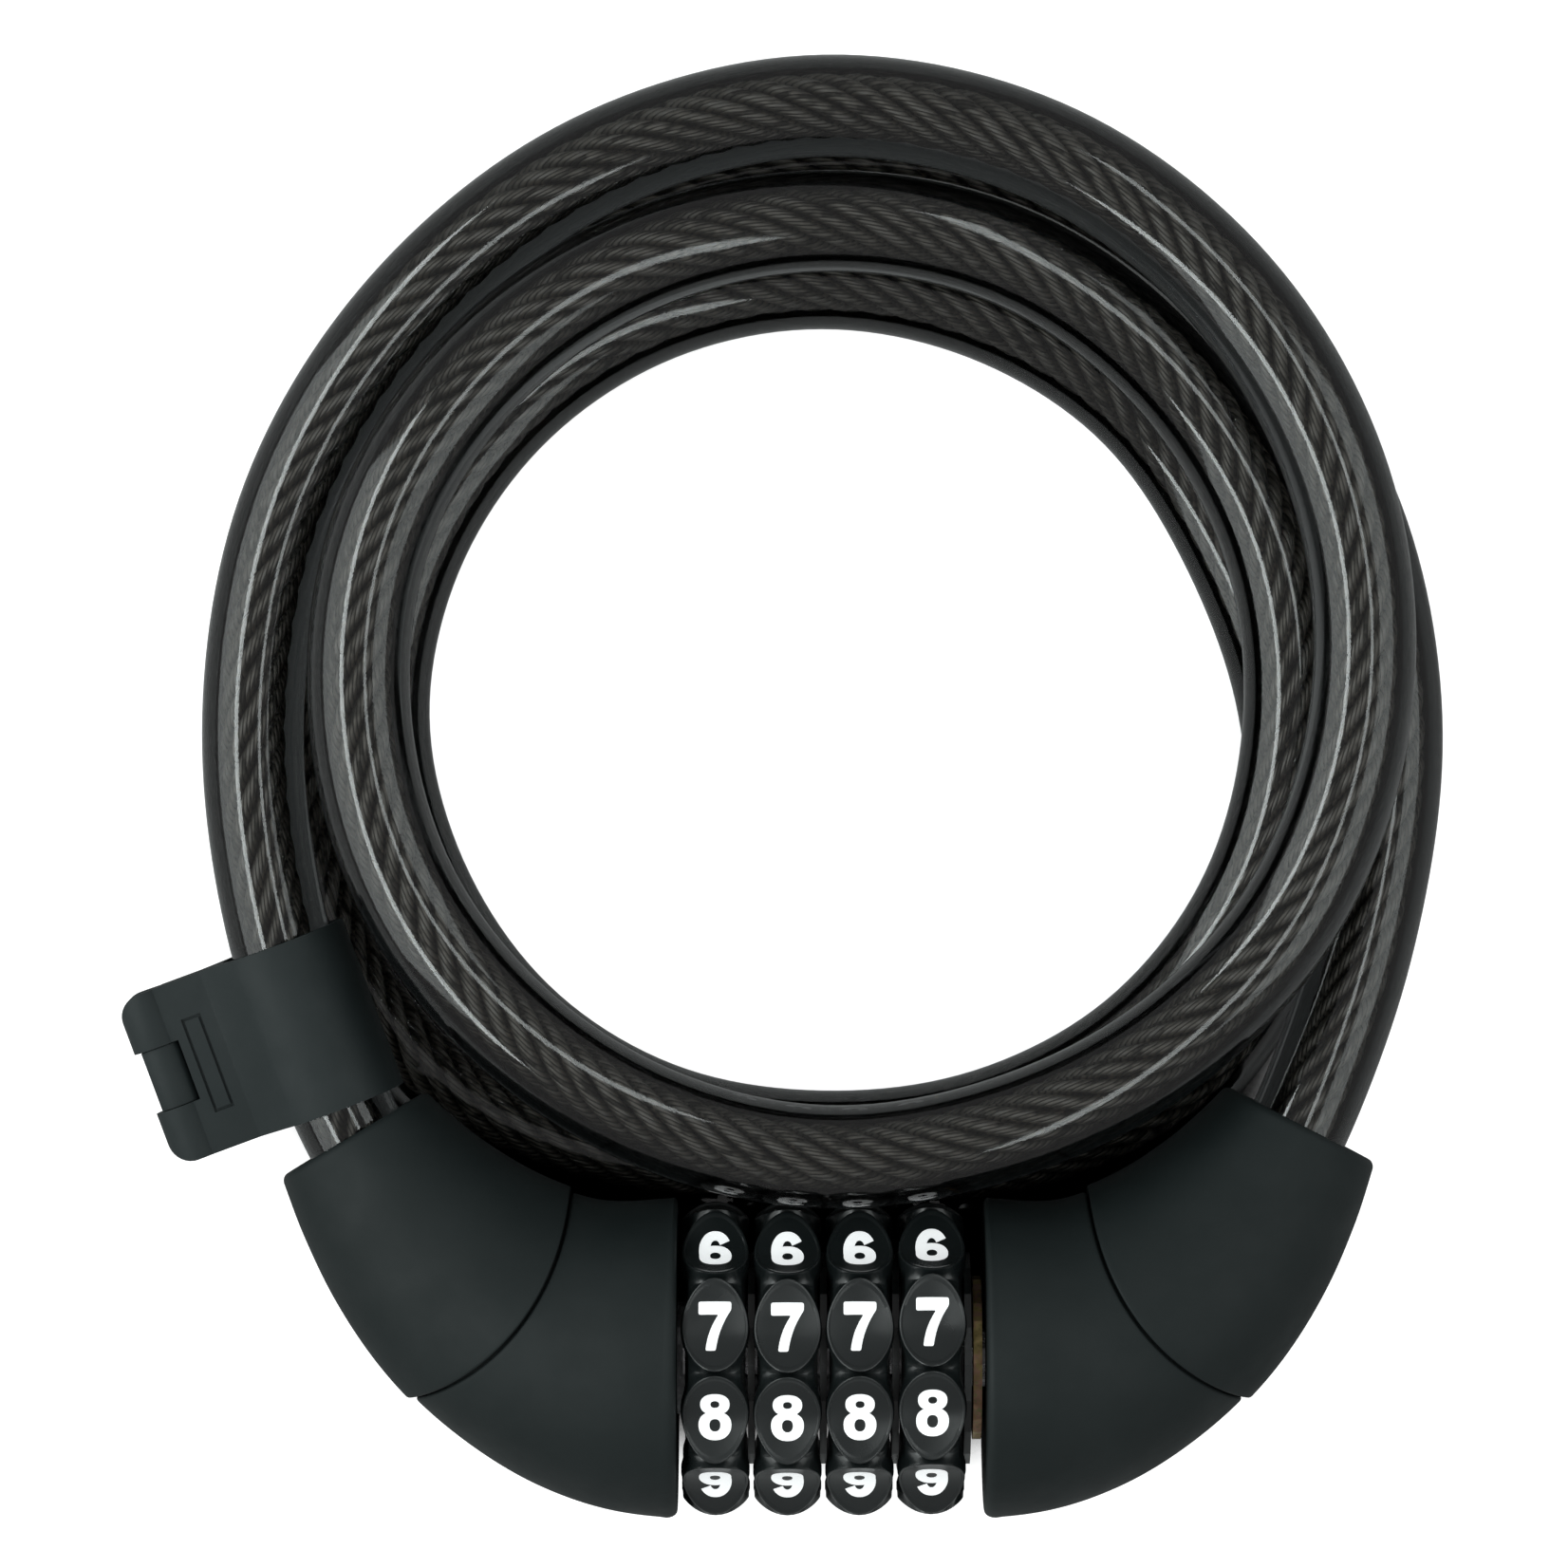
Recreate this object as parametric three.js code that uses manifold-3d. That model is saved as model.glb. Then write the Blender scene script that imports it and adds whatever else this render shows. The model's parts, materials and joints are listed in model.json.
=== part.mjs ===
// Self-coiling combination cable lock, lying flat on a table, in millimetres.
// +X runs along the row of dials, +Y from the lock towards the coil, +Z up; z = 0 is the table.
import * as THREE from 'three';
import { mergeVertices } from 'three/addons/utils/BufferGeometryUtils.js';
import Module from 'manifold-3d';

const wasm = await Module();
wasm.setup();

// ---------------------------------------------------------------- driving dimensions
const GAP = 0.3; // between neighbouring pieces
const HOUSING_R = 18.8; // both halves at the dials, which is also how high the lock axis lies
const AXIS = new THREE.Vector3(0, -6.4, HOUSING_R); // a point on the lock axis, which runs along X
const FACE_LEFT = -17.8;
const FACE_RIGHT = 18.2;

const MOUTH_R = 9.55; // outside of a half where the cable leaves it
const MOUTH_BORE_R = 6.9;
const WALL = 2.0;
const COVER_SEGMENTS = 20;
const SEAM_R = 28.0; // the end cover meets the body cover on an upright cylinder
const END_COVER_PROUD = 0.6;

const DIALS = 4;
const DIAL_PITCH = 8.4;
const DIAL_FIRST_X = -13.3;
const DIAL_R = 18.7;
const DIGITS = 10;
const PAD_HALF_WIDTH = 3.95;
const NECK_HALF_WIDTH = 3.05;
const NECK_DROP = 1.3;
const HUB_HALF_WIDTH = 3.5;
const SHOWN_DIGIT_ANGLE = 16.3; // from straight up towards the coil, in degrees
const DIAL_TURNS = [0, -0.4, 0, 1.8]; // how far each dial sits off that, in degrees

const RING_R = 10.6; // the code ring inside each dial
const TOOTH = 0.7;
const GATE_HALF_WIDTH = 1.6;
const GATE_R = 9.3;
const RECESS_R = 8.9;
const RING_WALL = 2.6;

const BARREL_R = 6.6;
const BARREL_BORE_R = 3.8;
const BARREL_X = [-30, 16.4];
const PIN_R = 3.4;
const LUG_R = 8.5;
const LUG_HALF_WIDTH = 1.2;

const CABLE_R = 6.0; // a 12 mm cable
const JACKET_BORE_R = 2.95;
const CORE_R = 2.5;
const CABLE_STEPS = 80;
const CABLE_IN_MOUTH = 9.0; // how far the jacket runs into each half
const FERRULE_R = 4.0;

const CLIP_LENGTH = 20.6;
const CLIP_R = 8.2;
const CLIP_BORE_R = 6.75;
const CLIP_FROM_MOUTH = 14.0; // along the cable, from the left mouth to the middle of the clip
const HINGE_OFFSET = 17.2; // from the cable's centre out to the clip's hinge
const KNUCKLE_R = 3.1;

// ---------------------------------------------------------------- finishes
const finish = (color, roughness, metalness) => ({ color, roughness, metalness });
const COVER_PLASTIC = finish(0x25292a, 0.55, 0);
const DIAL_PLASTIC = finish(0x202426, 0.4, 0);
const CLIP_PLASTIC = finish(0x2d3234, 0.5, 0);
const VINYL = finish(0x3a3835, 0.15, 0);
const WIRE_ROPE = finish(0x6b655c, 0.35, 1);
const ZINC_YELLOW = finish(0x96876a, 0.35, 1);
const DIE_CAST = finish(0x8a8c8e, 0.45, 1);
const SPRING_STEEL = finish(0xa0a2a4, 0.3, 1);

// ---------------------------------------------------------------- helpers
const radians = THREE.MathUtils.degToRad;

// A closed three.js geometry as a manifold solid, turned right side out.
function toSolid(geometry) {
  const plain = geometry.clone();
  plain.deleteAttribute('normal');
  plain.deleteAttribute('uv');
  const merged = mergeVertices(plain, 1e-4);
  const position = merged.attributes.position;
  const corners = Array.from(merged.index.array);
  const a = new THREE.Vector3();
  const b = new THREE.Vector3();
  const c = new THREE.Vector3();
  const kept = [];
  let volume = 0;
  for (let i = 0; i < corners.length; i += 3) {
    const [p, q, r] = corners.slice(i, i + 3);
    if (p === q || q === r || r === p) continue;
    kept.push([p, q, r]);
    a.fromBufferAttribute(position, p);
    b.fromBufferAttribute(position, q);
    c.fromBufferAttribute(position, r);
    volume += a.dot(b.cross(c));
  }
  const facing = volume < 0 ? kept.map(([p, q, r]) => [p, r, q]) : kept;
  return new wasm.Manifold(new wasm.Mesh({
    numProp: 3,
    vertProperties: new Float32Array(position.array),
    triVerts: new Uint32Array(facing.flat()),
  }));
}

function toGeometry(body) {
  const mesh = body.getMesh();
  const geometry = new THREE.BufferGeometry();
  geometry.setAttribute('position', new THREE.BufferAttribute(new Float32Array(mesh.vertProperties), 3));
  geometry.setIndex(new THREE.BufferAttribute(new Uint32Array(mesh.triVerts), 1));
  geometry.computeVertexNormals();
  return geometry;
}

const lock = new THREE.Group();

function addPiece(name, body, look) {
  const piece = new THREE.Mesh(toGeometry(body), new THREE.MeshStandardMaterial(look));
  piece.name = name;
  lock.add(piece);
}

function union(bodies) {
  return bodies.reduce((whole, body) => whole.add(body));
}

// A closed profile of [x, radius] points turned about the lock axis; reshape may move each vertex,
// given as { x, radius, angle } with angle counted from straight up towards the coil.
function turned(profile, segments, reshape = null, turn = 0) {
  const points = [...profile, profile[0]].map(([x, radius]) => new THREE.Vector2(radius, x));
  const geometry = new THREE.LatheGeometry(points, segments);
  const position = geometry.attributes.position;
  for (let i = 0; i < position.count; i += 1) {
    const vertex = {
      x: position.getY(i),
      radius: Math.hypot(position.getX(i), position.getZ(i)),
      angle: Math.atan2(position.getX(i), position.getZ(i)),
    };
    if (reshape) reshape(vertex);
    const angle = vertex.angle + radians(turn);
    position.setXYZ(
      i,
      vertex.x,
      AXIS.y + vertex.radius * Math.sin(angle),
      AXIS.z + vertex.radius * Math.cos(angle),
    );
  }
  return toSolid(geometry);
}

// A solid or hollow round bar from one point to another.
function bar(from, to, radius, segments = 14, boreRadius = 0) {
  const along = to.clone().sub(from);
  const inner = boreRadius || 0;
  const profile = [[inner, 0], [radius, 0], [radius, along.length()], [inner, along.length()]];
  if (inner) profile.push(profile[0]);
  const geometry = new THREE.LatheGeometry(profile.map(([r, y]) => new THREE.Vector2(r, y)), segments);
  const up = new THREE.Vector3(0, 1, 0);
  geometry.applyQuaternion(new THREE.Quaternion().setFromUnitVectors(up, along.normalize()));
  geometry.translate(from.x, from.y, from.z);
  return toSolid(geometry);
}

function box(low, high) {
  const size = new THREE.Vector3().subVectors(high, low);
  const geometry = new THREE.BoxGeometry(size.x, size.y, size.z);
  const middle = new THREE.Vector3().addVectors(low, high).multiplyScalar(0.5);
  geometry.translate(middle.x, middle.y, middle.z);
  return toSolid(geometry);
}

// A box given about the lock axis: x range, then across and up from the axis.
function axisBox(x, across, up) {
  return box(
    new THREE.Vector3(x[0], AXIS.y + across[0], AXIS.z + up[0]),
    new THREE.Vector3(x[1], AXIS.y + across[1], AXIS.z + up[1]),
  );
}

const onAxis = (x, across = 0, up = 0) => new THREE.Vector3(x, AXIS.y + across, AXIS.z + up);

// ---------------------------------------------------------------- the two curved halves
// Each half is a horn of round sections along a spine that bends from the lock axis to its mouth.
const SPINE_BEND = 13.7; // from the mouth back to the spine's last control point
const SEAM_CENTRE = { x: 58.1, y: 15.3 };
const SIDES = {
  left: { sign: -1, face: FACE_LEFT, mouth: [-55.9, 19.9], outward: [-0.509, 0.861], knee: -36.8 },
  right: { sign: 1, face: FACE_RIGHT, mouth: [55.4, 21.1], outward: [0.457, 0.889], knee: 37.2 },
};
for (const side of Object.values(SIDES)) {
  side.mouthPoint = new THREE.Vector3(...side.mouth, AXIS.z);
  side.outwardLine = new THREE.Vector3(...side.outward, 0).normalize();
  side.spine = new THREE.CubicBezierCurve3(
    onAxis(side.face),
    onAxis(side.knee),
    side.mouthPoint.clone().addScaledVector(side.outwardLine, -SPINE_BEND),
    side.mouthPoint,
  );
}
// How wide a horn is at each share of its spine, from the dial face to the mouth.
const HORN_RADII = [
  [0, HOUSING_R], [0.1, 18.4], [0.2, 17.6], [0.33, 16.3], [0.5, 14.7], [0.7, 12.5], [0.88, 10.5],
  [1, MOUTH_R],
];
const FACE_WALL = 0.04; // share of the spine taken by the wall at the dial face
const MOUTH_LIP = 0.95; // share of the spine where the lip round the cable begins
const EDGE = 0.6; // rounding of the outer edges
const FACE_BORE_R = 7.0;

function hornProfile(proud) {
  const outer = HORN_RADII.slice(1, -1).map(([at, r]) => [r + proud, at]);
  const inner = HORN_RADII.slice(1, -1).map(([at, r]) => [r - WALL, at]).reverse();
  return [
    [HOUSING_R - EDGE + proud, 0], [HOUSING_R + proud, 0.012], ...outer,
    [MOUTH_R + proud * 0.5, 0.985], [MOUTH_R - EDGE, 1], [MOUTH_BORE_R, 1],
    [MOUTH_BORE_R, MOUTH_LIP], [MOUTH_R - WALL + 0.4, MOUTH_LIP], ...inner,
    [HOUSING_R - WALL, FACE_WALL], [FACE_BORE_R, FACE_WALL], [FACE_BORE_R, 0],
  ];
}

function horn(side, proud) {
  const profile = hornProfile(proud);
  const points = [...profile, profile[0]].map(([r, at]) => new THREE.Vector2(r, at));
  const geometry = new THREE.LatheGeometry(points, COVER_SEGMENTS);
  const position = geometry.attributes.position;
  for (let i = 0; i < position.count; i += 1) {
    const at = position.getY(i);
    const centre = side.spine.getPoint(at);
    const along = side.spine.getTangent(at);
    const across = new THREE.Vector3(-along.y, along.x, 0).multiplyScalar(position.getX(i));
    position.setXYZ(i, centre.x + across.x, centre.y + across.y, centre.z + position.getZ(i));
  }
  return toSolid(geometry);
}

function seamCylinder(side, radius) {
  const centre = new THREE.Vector3(side.sign * SEAM_CENTRE.x, SEAM_CENTRE.y, -5);
  return bar(centre, centre.clone().setZ(2 * HOUSING_R + 5), radius, 64);
}

for (const [name, side] of Object.entries(SIDES)) {
  addPiece(`${name}_body_cover`, horn(side, 0).subtract(seamCylinder(side, SEAM_R + GAP / 2)), COVER_PLASTIC);
  const endCover = horn(side, END_COVER_PROUD).intersect(seamCylinder(side, SEAM_R - GAP / 2));
  addPiece(`${name}_end_cover`, endCover, COVER_PLASTIC);
}

// ---------------------------------------------------------------- the cable's route
// Stations of the coil at even steps round its centre, clockwise from the lock, chosen by hand:
// [distance from the centre, height], one line for each turn.
const COIL_CENTRE = { x: -0.7, y: 68.6 };
const COIL_FIRST_ANGLE = 67.5;
const COIL_STEP = 22.5;
const COIL_TURNS = [
  [[69, 19.8], [67, 20.8], [67.5, 21.3], [68.5, 21.5], [70.5, 22], [72, 23.2], [71.3, 25.6], [69, 27],
    [66, 28.4], [62.5, 29.5], [59, 30.4], [55, 30.9], [52, 31], [51, 31], [50.5, 31], [51, 31]],
  [[52.5, 31], [54, 30.8], [56, 29.8], [57.1, 27.5], [57.9, 25], [58.5, 23.6], [58.8, 22.6], [58, 20.5],
    [57, 18.9], [55.5, 18.4], [54.5, 18.4], [53, 18.4], [51, 18.4], [49.7, 18.4], [50.3, 18.4], [51, 18.4]],
  [[51.5, 18.3], [52.5, 17.4], [52.5, 15.6], [52.5, 13.4], [52.5, 11.6], [52.5, 10.8], [52.5, 10.2], [53, 8.6],
    [53, 6.9], [55.8, 6.2], [59.7, 6.1], [60.8, 6.1], [57, 6.1], [52.5, 6.1], [56.4, 6.1], [61.8, 6.1]],
  [[63.3, 6.1], [62.5, 6.1], [62.5, 6.1], [63.5, 6.1], [65, 6.1], [66.5, 6.1], [67.5, 6.3], [67.5, 7],
    [67.5, 8.8], [67.5, 11.8], [69, 16]],
];

function intoMouth(side, depth) {
  return side.mouthPoint.clone().addScaledVector(side.outwardLine, -depth);
}

function coilStations() {
  return COIL_TURNS.flat().map(([distance, height], i) => {
    const angle = radians(COIL_FIRST_ANGLE + COIL_STEP * i);
    return new THREE.Vector3(
      COIL_CENTRE.x - distance * Math.sin(angle),
      COIL_CENTRE.y - distance * Math.cos(angle),
      height,
    );
  });
}

const CORE_EXTRA = 17.6; // how far the rope runs on past the jacket, into its ferrule
const STRAIGHT_DEPTHS = [0, 7, 14, 21, CABLE_IN_MOUTH + CORE_EXTRA];
const route = new THREE.CatmullRomCurve3([
  ...STRAIGHT_DEPTHS.map((depth) => intoMouth(SIDES.left, depth)).reverse(),
  ...coilStations(),
  ...STRAIGHT_DEPTHS.map((depth) => intoMouth(SIDES.right, depth)),
], false, 'centripetal');
route.arcLengthDivisions = 4000;
const routeLength = route.getLength();

// A stretch of the route between two shares of its length.
class Stretch extends THREE.Curve {
  constructor(whole, from, to) {
    super();
    this.whole = whole;
    this.from = from;
    this.to = to;
    this.arcLengthDivisions = 2000;
  }

  getPoint(t, target = new THREE.Vector3()) {
    return this.whole.getPointAt(this.from + (this.to - this.from) * t, target);
  }
}

function ringOf(radius, corners) {
  return Array.from({ length: corners }, (_, i) => {
    const angle = (2 * Math.PI * i) / corners;
    return new THREE.Vector2(radius * Math.cos(angle), radius * Math.sin(angle));
  });
}

function tubeAlong(curve, steps, radius, corners, boreRadius = 0, boreCorners = 0) {
  const section = new THREE.Shape(ringOf(radius, corners));
  if (boreRadius) section.holes.push(new THREE.Path(ringOf(boreRadius, boreCorners)));
  const options = { steps, extrudePath: curve, bevelEnabled: false };
  return toSolid(new THREE.ExtrudeGeometry(section, options));
}

// The rope is one step longer than the jacket at each end, so that both bend at the same places.
const stepShare = CORE_EXTRA / routeLength;
const jacketLine = new Stretch(route, stepShare, 1 - stepShare);
const jacketSteps = CABLE_STEPS - 2;
addPiece('cable_jacket', tubeAlong(jacketLine, jacketSteps, CABLE_R, 8, JACKET_BORE_R, 6), VINYL);
addPiece('cable_core', tubeAlong(route, CABLE_STEPS, CORE_R, 6), WIRE_ROPE);

// ---------------------------------------------------------------- ferrules and carriers
const FERRULE_DEPTH = [CABLE_IN_MOUTH + 0.6, CABLE_IN_MOUTH + 17.0];
const FERRULE_BORE_R = 2.85;
const FERRULE_WAIST_R = 3.3;
const WAIST_HALF_LENGTH = 1.3;
const CROSS_PIN_R = 0.9;
const CROSS_PIN_OFFSET = 4.4;
const ARM_R = 6.2;
const ARM_DEPTH = [10.2, 30.5];
const BOSS_R = 10.0;
const BOSS_BEHIND_FACE = 2.9; // clear of the wall at the dial face
const BOSS_LENGTH = 10.5;

const across = (side) => new THREE.Vector3(-side.outwardLine.y, side.outwardLine.x, 0);

function crossPinLine(side) {
  const middle = (FERRULE_DEPTH[0] + FERRULE_DEPTH[1]) / 2;
  return intoMouth(side, middle).addScaledVector(across(side), CROSS_PIN_OFFSET);
}

function crossPin(side, radius, halfLength) {
  const middle = crossPinLine(side);
  const low = middle.clone().setZ(AXIS.z - halfLength);
  return bar(low, middle.clone().setZ(AXIS.z + halfLength), radius, 12);
}

function ferrule(side) {
  const middle = (FERRULE_DEPTH[0] + FERRULE_DEPTH[1]) / 2;
  const sleeve = bar(intoMouth(side, FERRULE_DEPTH[1]), intoMouth(side, FERRULE_DEPTH[0]), FERRULE_R, 12,
    FERRULE_BORE_R);
  const waist = bar(intoMouth(side, middle + WAIST_HALF_LENGTH), intoMouth(side, middle - WAIST_HALF_LENGTH),
    FERRULE_R + 1, 12, FERRULE_WAIST_R);
  return sleeve.subtract(waist);
}

function carrierBlank(side) {
  const bossStart = side.face + side.sign * BOSS_BEHIND_FACE;
  const bossEnd = bossStart + side.sign * BOSS_LENGTH;
  const elbow = intoMouth(side, ARM_DEPTH[1]);
  const ball = new THREE.SphereGeometry(ARM_R, 14, 8);
  ball.translate(elbow.x, elbow.y, elbow.z);
  return union([
    bar(onAxis(bossStart), onAxis(bossEnd), BOSS_R, 20),
    bar(onAxis(bossEnd - side.sign * 2), onAxis(elbow.x), ARM_R),
    toSolid(ball),
    bar(intoMouth(side, ARM_DEPTH[0]), elbow, ARM_R),
  ]).subtract(bar(intoMouth(side, ARM_DEPTH[0] - 1), intoMouth(side, FERRULE_DEPTH[1] + 1), FERRULE_R + GAP))
    .subtract(crossPin(side, CROSS_PIN_R + 0.2, ARM_R + 1));
}

const ROLL_PIN_R = 1.2;
const ROLL_PIN_X = { left: -26.5, right: 26.4 };
const uprightPin = (x, radius, reach) => bar(onAxis(x, 0, -reach), onAxis(x, 0, reach), radius, 12);
const pinHole = (x) => uprightPin(x, ROLL_PIN_R + 0.25, BOSS_R + 1);

addPiece('left_carrier', carrierBlank(SIDES.left)
  .subtract(bar(onAxis(FACE_LEFT), onAxis(BARREL_X[0] - GAP), BARREL_R + GAP, 20))
  .subtract(pinHole(ROLL_PIN_X.left)), DIE_CAST);
addPiece('right_carrier', carrierBlank(SIDES.right)
  .subtract(bar(onAxis(FACE_RIGHT), onAxis(30 + GAP), PIN_R + GAP))
  .subtract(pinHole(ROLL_PIN_X.right)), DIE_CAST);
for (const [name, side] of Object.entries(SIDES)) {
  addPiece(`${name}_ferrule`, ferrule(side), SPRING_STEEL);
  addPiece(`${name}_ferrule_pin`, crossPin(side, CROSS_PIN_R, ARM_R - 0.6), SPRING_STEEL);
}
addPiece('barrel_roll_pin', uprightPin(ROLL_PIN_X.left, ROLL_PIN_R, BOSS_R - 0.6), SPRING_STEEL);
addPiece('pin_roll_pin', uprightPin(ROLL_PIN_X.right, ROLL_PIN_R, BOSS_R - 0.6), SPRING_STEEL);

// ---------------------------------------------------------------- slotted barrel and what sits on it
const SLOT_HALF_WIDTH = 1.5;
const SLOT_START = -19.5;
const GROOVE_FLOOR = 5.5;
const GROOVE_X = [-17.4, 15.2];
const SPRING_HALF_WIDTH = 1.5;
const SPRING_THICKNESS = 0.35;
const PLATE_X = [16.8, 17.8];
const PLATE_R = 9.6;

const dialX = (i) => DIAL_FIRST_X + DIAL_PITCH * i;

addPiece('lock_barrel', bar(onAxis(BARREL_X[0]), onAxis(BARREL_X[1]), BARREL_R, 20, BARREL_BORE_R)
  .subtract(axisBox([SLOT_START, BARREL_X[1] + 1], [-SLOT_HALF_WIDTH, SLOT_HALF_WIDTH], [-BARREL_R - 1, 0]))
  .subtract(axisBox(GROOVE_X, [-SPRING_HALF_WIDTH - GAP, SPRING_HALF_WIDTH + GAP],
    [GROOVE_FLOOR, BARREL_R + 1]))
  .subtract(pinHole(ROLL_PIN_X.left)), DIE_CAST);

const springBumps = Array.from({ length: DIALS }, (_, i) => {
  const x = dialX(i) + HUB_HALF_WIDTH - RING_WALL / 2;
  return bar(onAxis(x, -SPRING_HALF_WIDTH + 0.1, GROOVE_FLOOR + 0.35),
    onAxis(x, SPRING_HALF_WIDTH - 0.1, GROOVE_FLOOR + 0.35), 0.8, 12);
});
const springStrip = axisBox([GROOVE_X[0] + GAP, GROOVE_X[1] - GAP], [-SPRING_HALF_WIDTH, SPRING_HALF_WIDTH],
  [GROOVE_FLOOR + 0.15, GROOVE_FLOOR + 0.15 + SPRING_THICKNESS]);
const belowSpring = axisBox(BARREL_X, [-3, 3], [GROOVE_FLOOR - 2, GROOVE_FLOOR + 0.15]);
addPiece('detent_spring', union([springStrip, ...springBumps]).subtract(belowSpring), SPRING_STEEL);

const lugWay = (x, reach) => axisBox(x, [-GATE_HALF_WIDTH, GATE_HALF_WIDTH], [-reach, 0]);
addPiece('barrel_end_plate', bar(onAxis(PLATE_X[0]), onAxis(PLATE_X[1]), PLATE_R, 24, BARREL_BORE_R)
  .subtract(lugWay([PLATE_X[0] - 1, PLATE_X[1] + 1], GATE_R)), ZINC_YELLOW);

// ---------------------------------------------------------------- dials, code rings and washers
const DIAL_SEGMENTS = 40;
const DIAL_BORE_R = RING_R + GAP;
const padSpacing = (2 * Math.PI) / DIGITS;
// 0 in the middle of a digit's pad, 1 halfway to the next.
const offPad = (angle) => Math.abs(angle / padSpacing - Math.round(angle / padSpacing)) * 2;

const DIAL_PROFILE = [
  [-HUB_HALF_WIDTH, DIAL_BORE_R], [-HUB_HALF_WIDTH, 13.0],
  [-PAD_HALF_WIDTH, DIAL_R - 1.5], [-PAD_HALF_WIDTH * 0.8, DIAL_R - 0.35], [0, DIAL_R],
  [PAD_HALF_WIDTH * 0.8, DIAL_R - 0.35], [PAD_HALF_WIDTH, DIAL_R - 1.5],
  [HUB_HALF_WIDTH, 13.0], [HUB_HALF_WIDTH, DIAL_BORE_R],
];

function shapeDial(vertex) {
  const off = offPad(vertex.angle);
  if (vertex.radius < 12) {
    vertex.radius += off < 0.1 ? TOOTH : 0;
  } else if (vertex.radius > 13.1) {
    const narrowing = 1 - Math.sqrt(Math.max(0, 1 - off * off));
    vertex.x *= 1 - (1 - NECK_HALF_WIDTH / PAD_HALF_WIDTH) * narrowing;
    if (vertex.radius > DIAL_R - 2) vertex.radius -= NECK_DROP * narrowing;
  }
}

const RING_PROFILE = [
  [-HUB_HALF_WIDTH, RECESS_R], [-HUB_HALF_WIDTH, RING_R], [HUB_HALF_WIDTH, RING_R],
  [HUB_HALF_WIDTH, BARREL_R + GAP], [HUB_HALF_WIDTH - RING_WALL, BARREL_R + GAP],
  [HUB_HALF_WIDTH - RING_WALL, RECESS_R],
];

function shapeRing(vertex) {
  vertex.radius += vertex.radius > RING_R - 0.1 && offPad(vertex.angle) < 0.1 ? TOOTH : 0;
}

const shifted = (profile, x) => profile.map(([along, radius]) => [along + x, radius]);
const WASHER_HALF_THICKNESS = 0.4;
const WASHER_R = 12.5;

for (let i = 0; i < DIALS; i += 1) {
  const turn = SHOWN_DIGIT_ANGLE + DIAL_TURNS[i];
  const x = dialX(i);
  const about = (reshape) => (vertex) => {
    vertex.x -= x;
    reshape(vertex);
    vertex.x += x;
  };
  addPiece(`dial_${i + 1}`, turned(shifted(DIAL_PROFILE, x), DIAL_SEGMENTS, about(shapeDial), turn),
    DIAL_PLASTIC);
  const gate = [x + HUB_HALF_WIDTH - RING_WALL - 0.4, x + HUB_HALF_WIDTH + 1];
  const ring = turned(shifted(RING_PROFILE, x), DIAL_SEGMENTS, about(shapeRing), turn);
  addPiece(`code_ring_${i + 1}`, ring.subtract(lugWay(gate, GATE_R)), DIE_CAST);
  const washerX = x + DIAL_PITCH / 2;
  addPiece(`spacer_washer_${i + 1}`,
    bar(onAxis(washerX - WASHER_HALF_THICKNESS), onAxis(washerX + WASHER_HALF_THICKNESS), WASHER_R, 18,
      BARREL_R + GAP).subtract(lugWay([washerX - 1, washerX + 1], GATE_R)), DIAL_PLASTIC);
}

// ---------------------------------------------------------------- locking pin
const LUG_LENGTH = 3.0;
const PIN_X = [-19.0, 30.0];
const lugs = Array.from({ length: DIALS }, (_, i) => {
  const right = dialX(i) + HUB_HALF_WIDTH - RING_WALL - 0.5;
  return axisBox([right - LUG_LENGTH, right], [-LUG_HALF_WIDTH, LUG_HALF_WIDTH], [-LUG_R, 0]);
});
addPiece('locking_pin', union([bar(onAxis(PIN_X[0]), onAxis(PIN_X[1]), PIN_R, 16), ...lugs])
  .subtract(uprightPin(ROLL_PIN_X.right, ROLL_PIN_R + 0.25, PIN_R + 1)), SPRING_STEEL);

// ---------------------------------------------------------------- carrying clip on the cable
// Its own directions: out from the cable to the hinge, up, and along the cable.
const onRoute = (pastMouth) => route.getPointAt((CABLE_IN_MOUTH + CORE_EXTRA + pastMouth) / routeLength);
const clipEnds = [-0.4, 0.4].map((share) => onRoute(CLIP_FROM_MOUTH + share * CLIP_LENGTH));
const CLIP_CENTRE = clipEnds[0].clone().lerp(clipEnds[1], 0.5).lerp(onRoute(CLIP_FROM_MOUTH), 0.5);
const CLIP_ALONG = clipEnds[1].clone().sub(clipEnds[0]).normalize();
const CLIP_OUT = new THREE.Vector3(0, 0, 1).cross(CLIP_ALONG).normalize();
const CLIP_UP = CLIP_ALONG.clone().cross(CLIP_OUT);
const clipFrame = new THREE.Matrix4().makeBasis(CLIP_OUT, CLIP_UP, CLIP_ALONG).setPosition(CLIP_CENTRE);
const HALF_GAP = 0.15;
const TAB_HALF_THICKNESS = 2.6;
const TAB_END = HINGE_OFFSET - KNUCKLE_R + 0.6;
const SHOULDER_ANGLE = 52; // where the sleeve's round top starts to slope down to the tab
const FOOT_OF_SLOPE = 9.6;
const LOBE_LENGTH = 6.6; // each outer knuckle
const HINGE_PIN_R = 1.2;
const LABEL = { x: [11.2, 13.6], z: [-5.8, 5.8], depth: 0.35, line: 0.35 };

function inClip(geometry) {
  geometry.applyMatrix4(clipFrame);
  return toSolid(geometry);
}

function clipBlock(x, y, z) {
  const geometry = new THREE.BoxGeometry(x[1] - x[0], y[1] - y[0], z[1] - z[0]);
  geometry.translate((x[0] + x[1]) / 2, (y[0] + y[1]) / 2, (z[0] + z[1]) / 2);
  return inClip(geometry);
}

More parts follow.
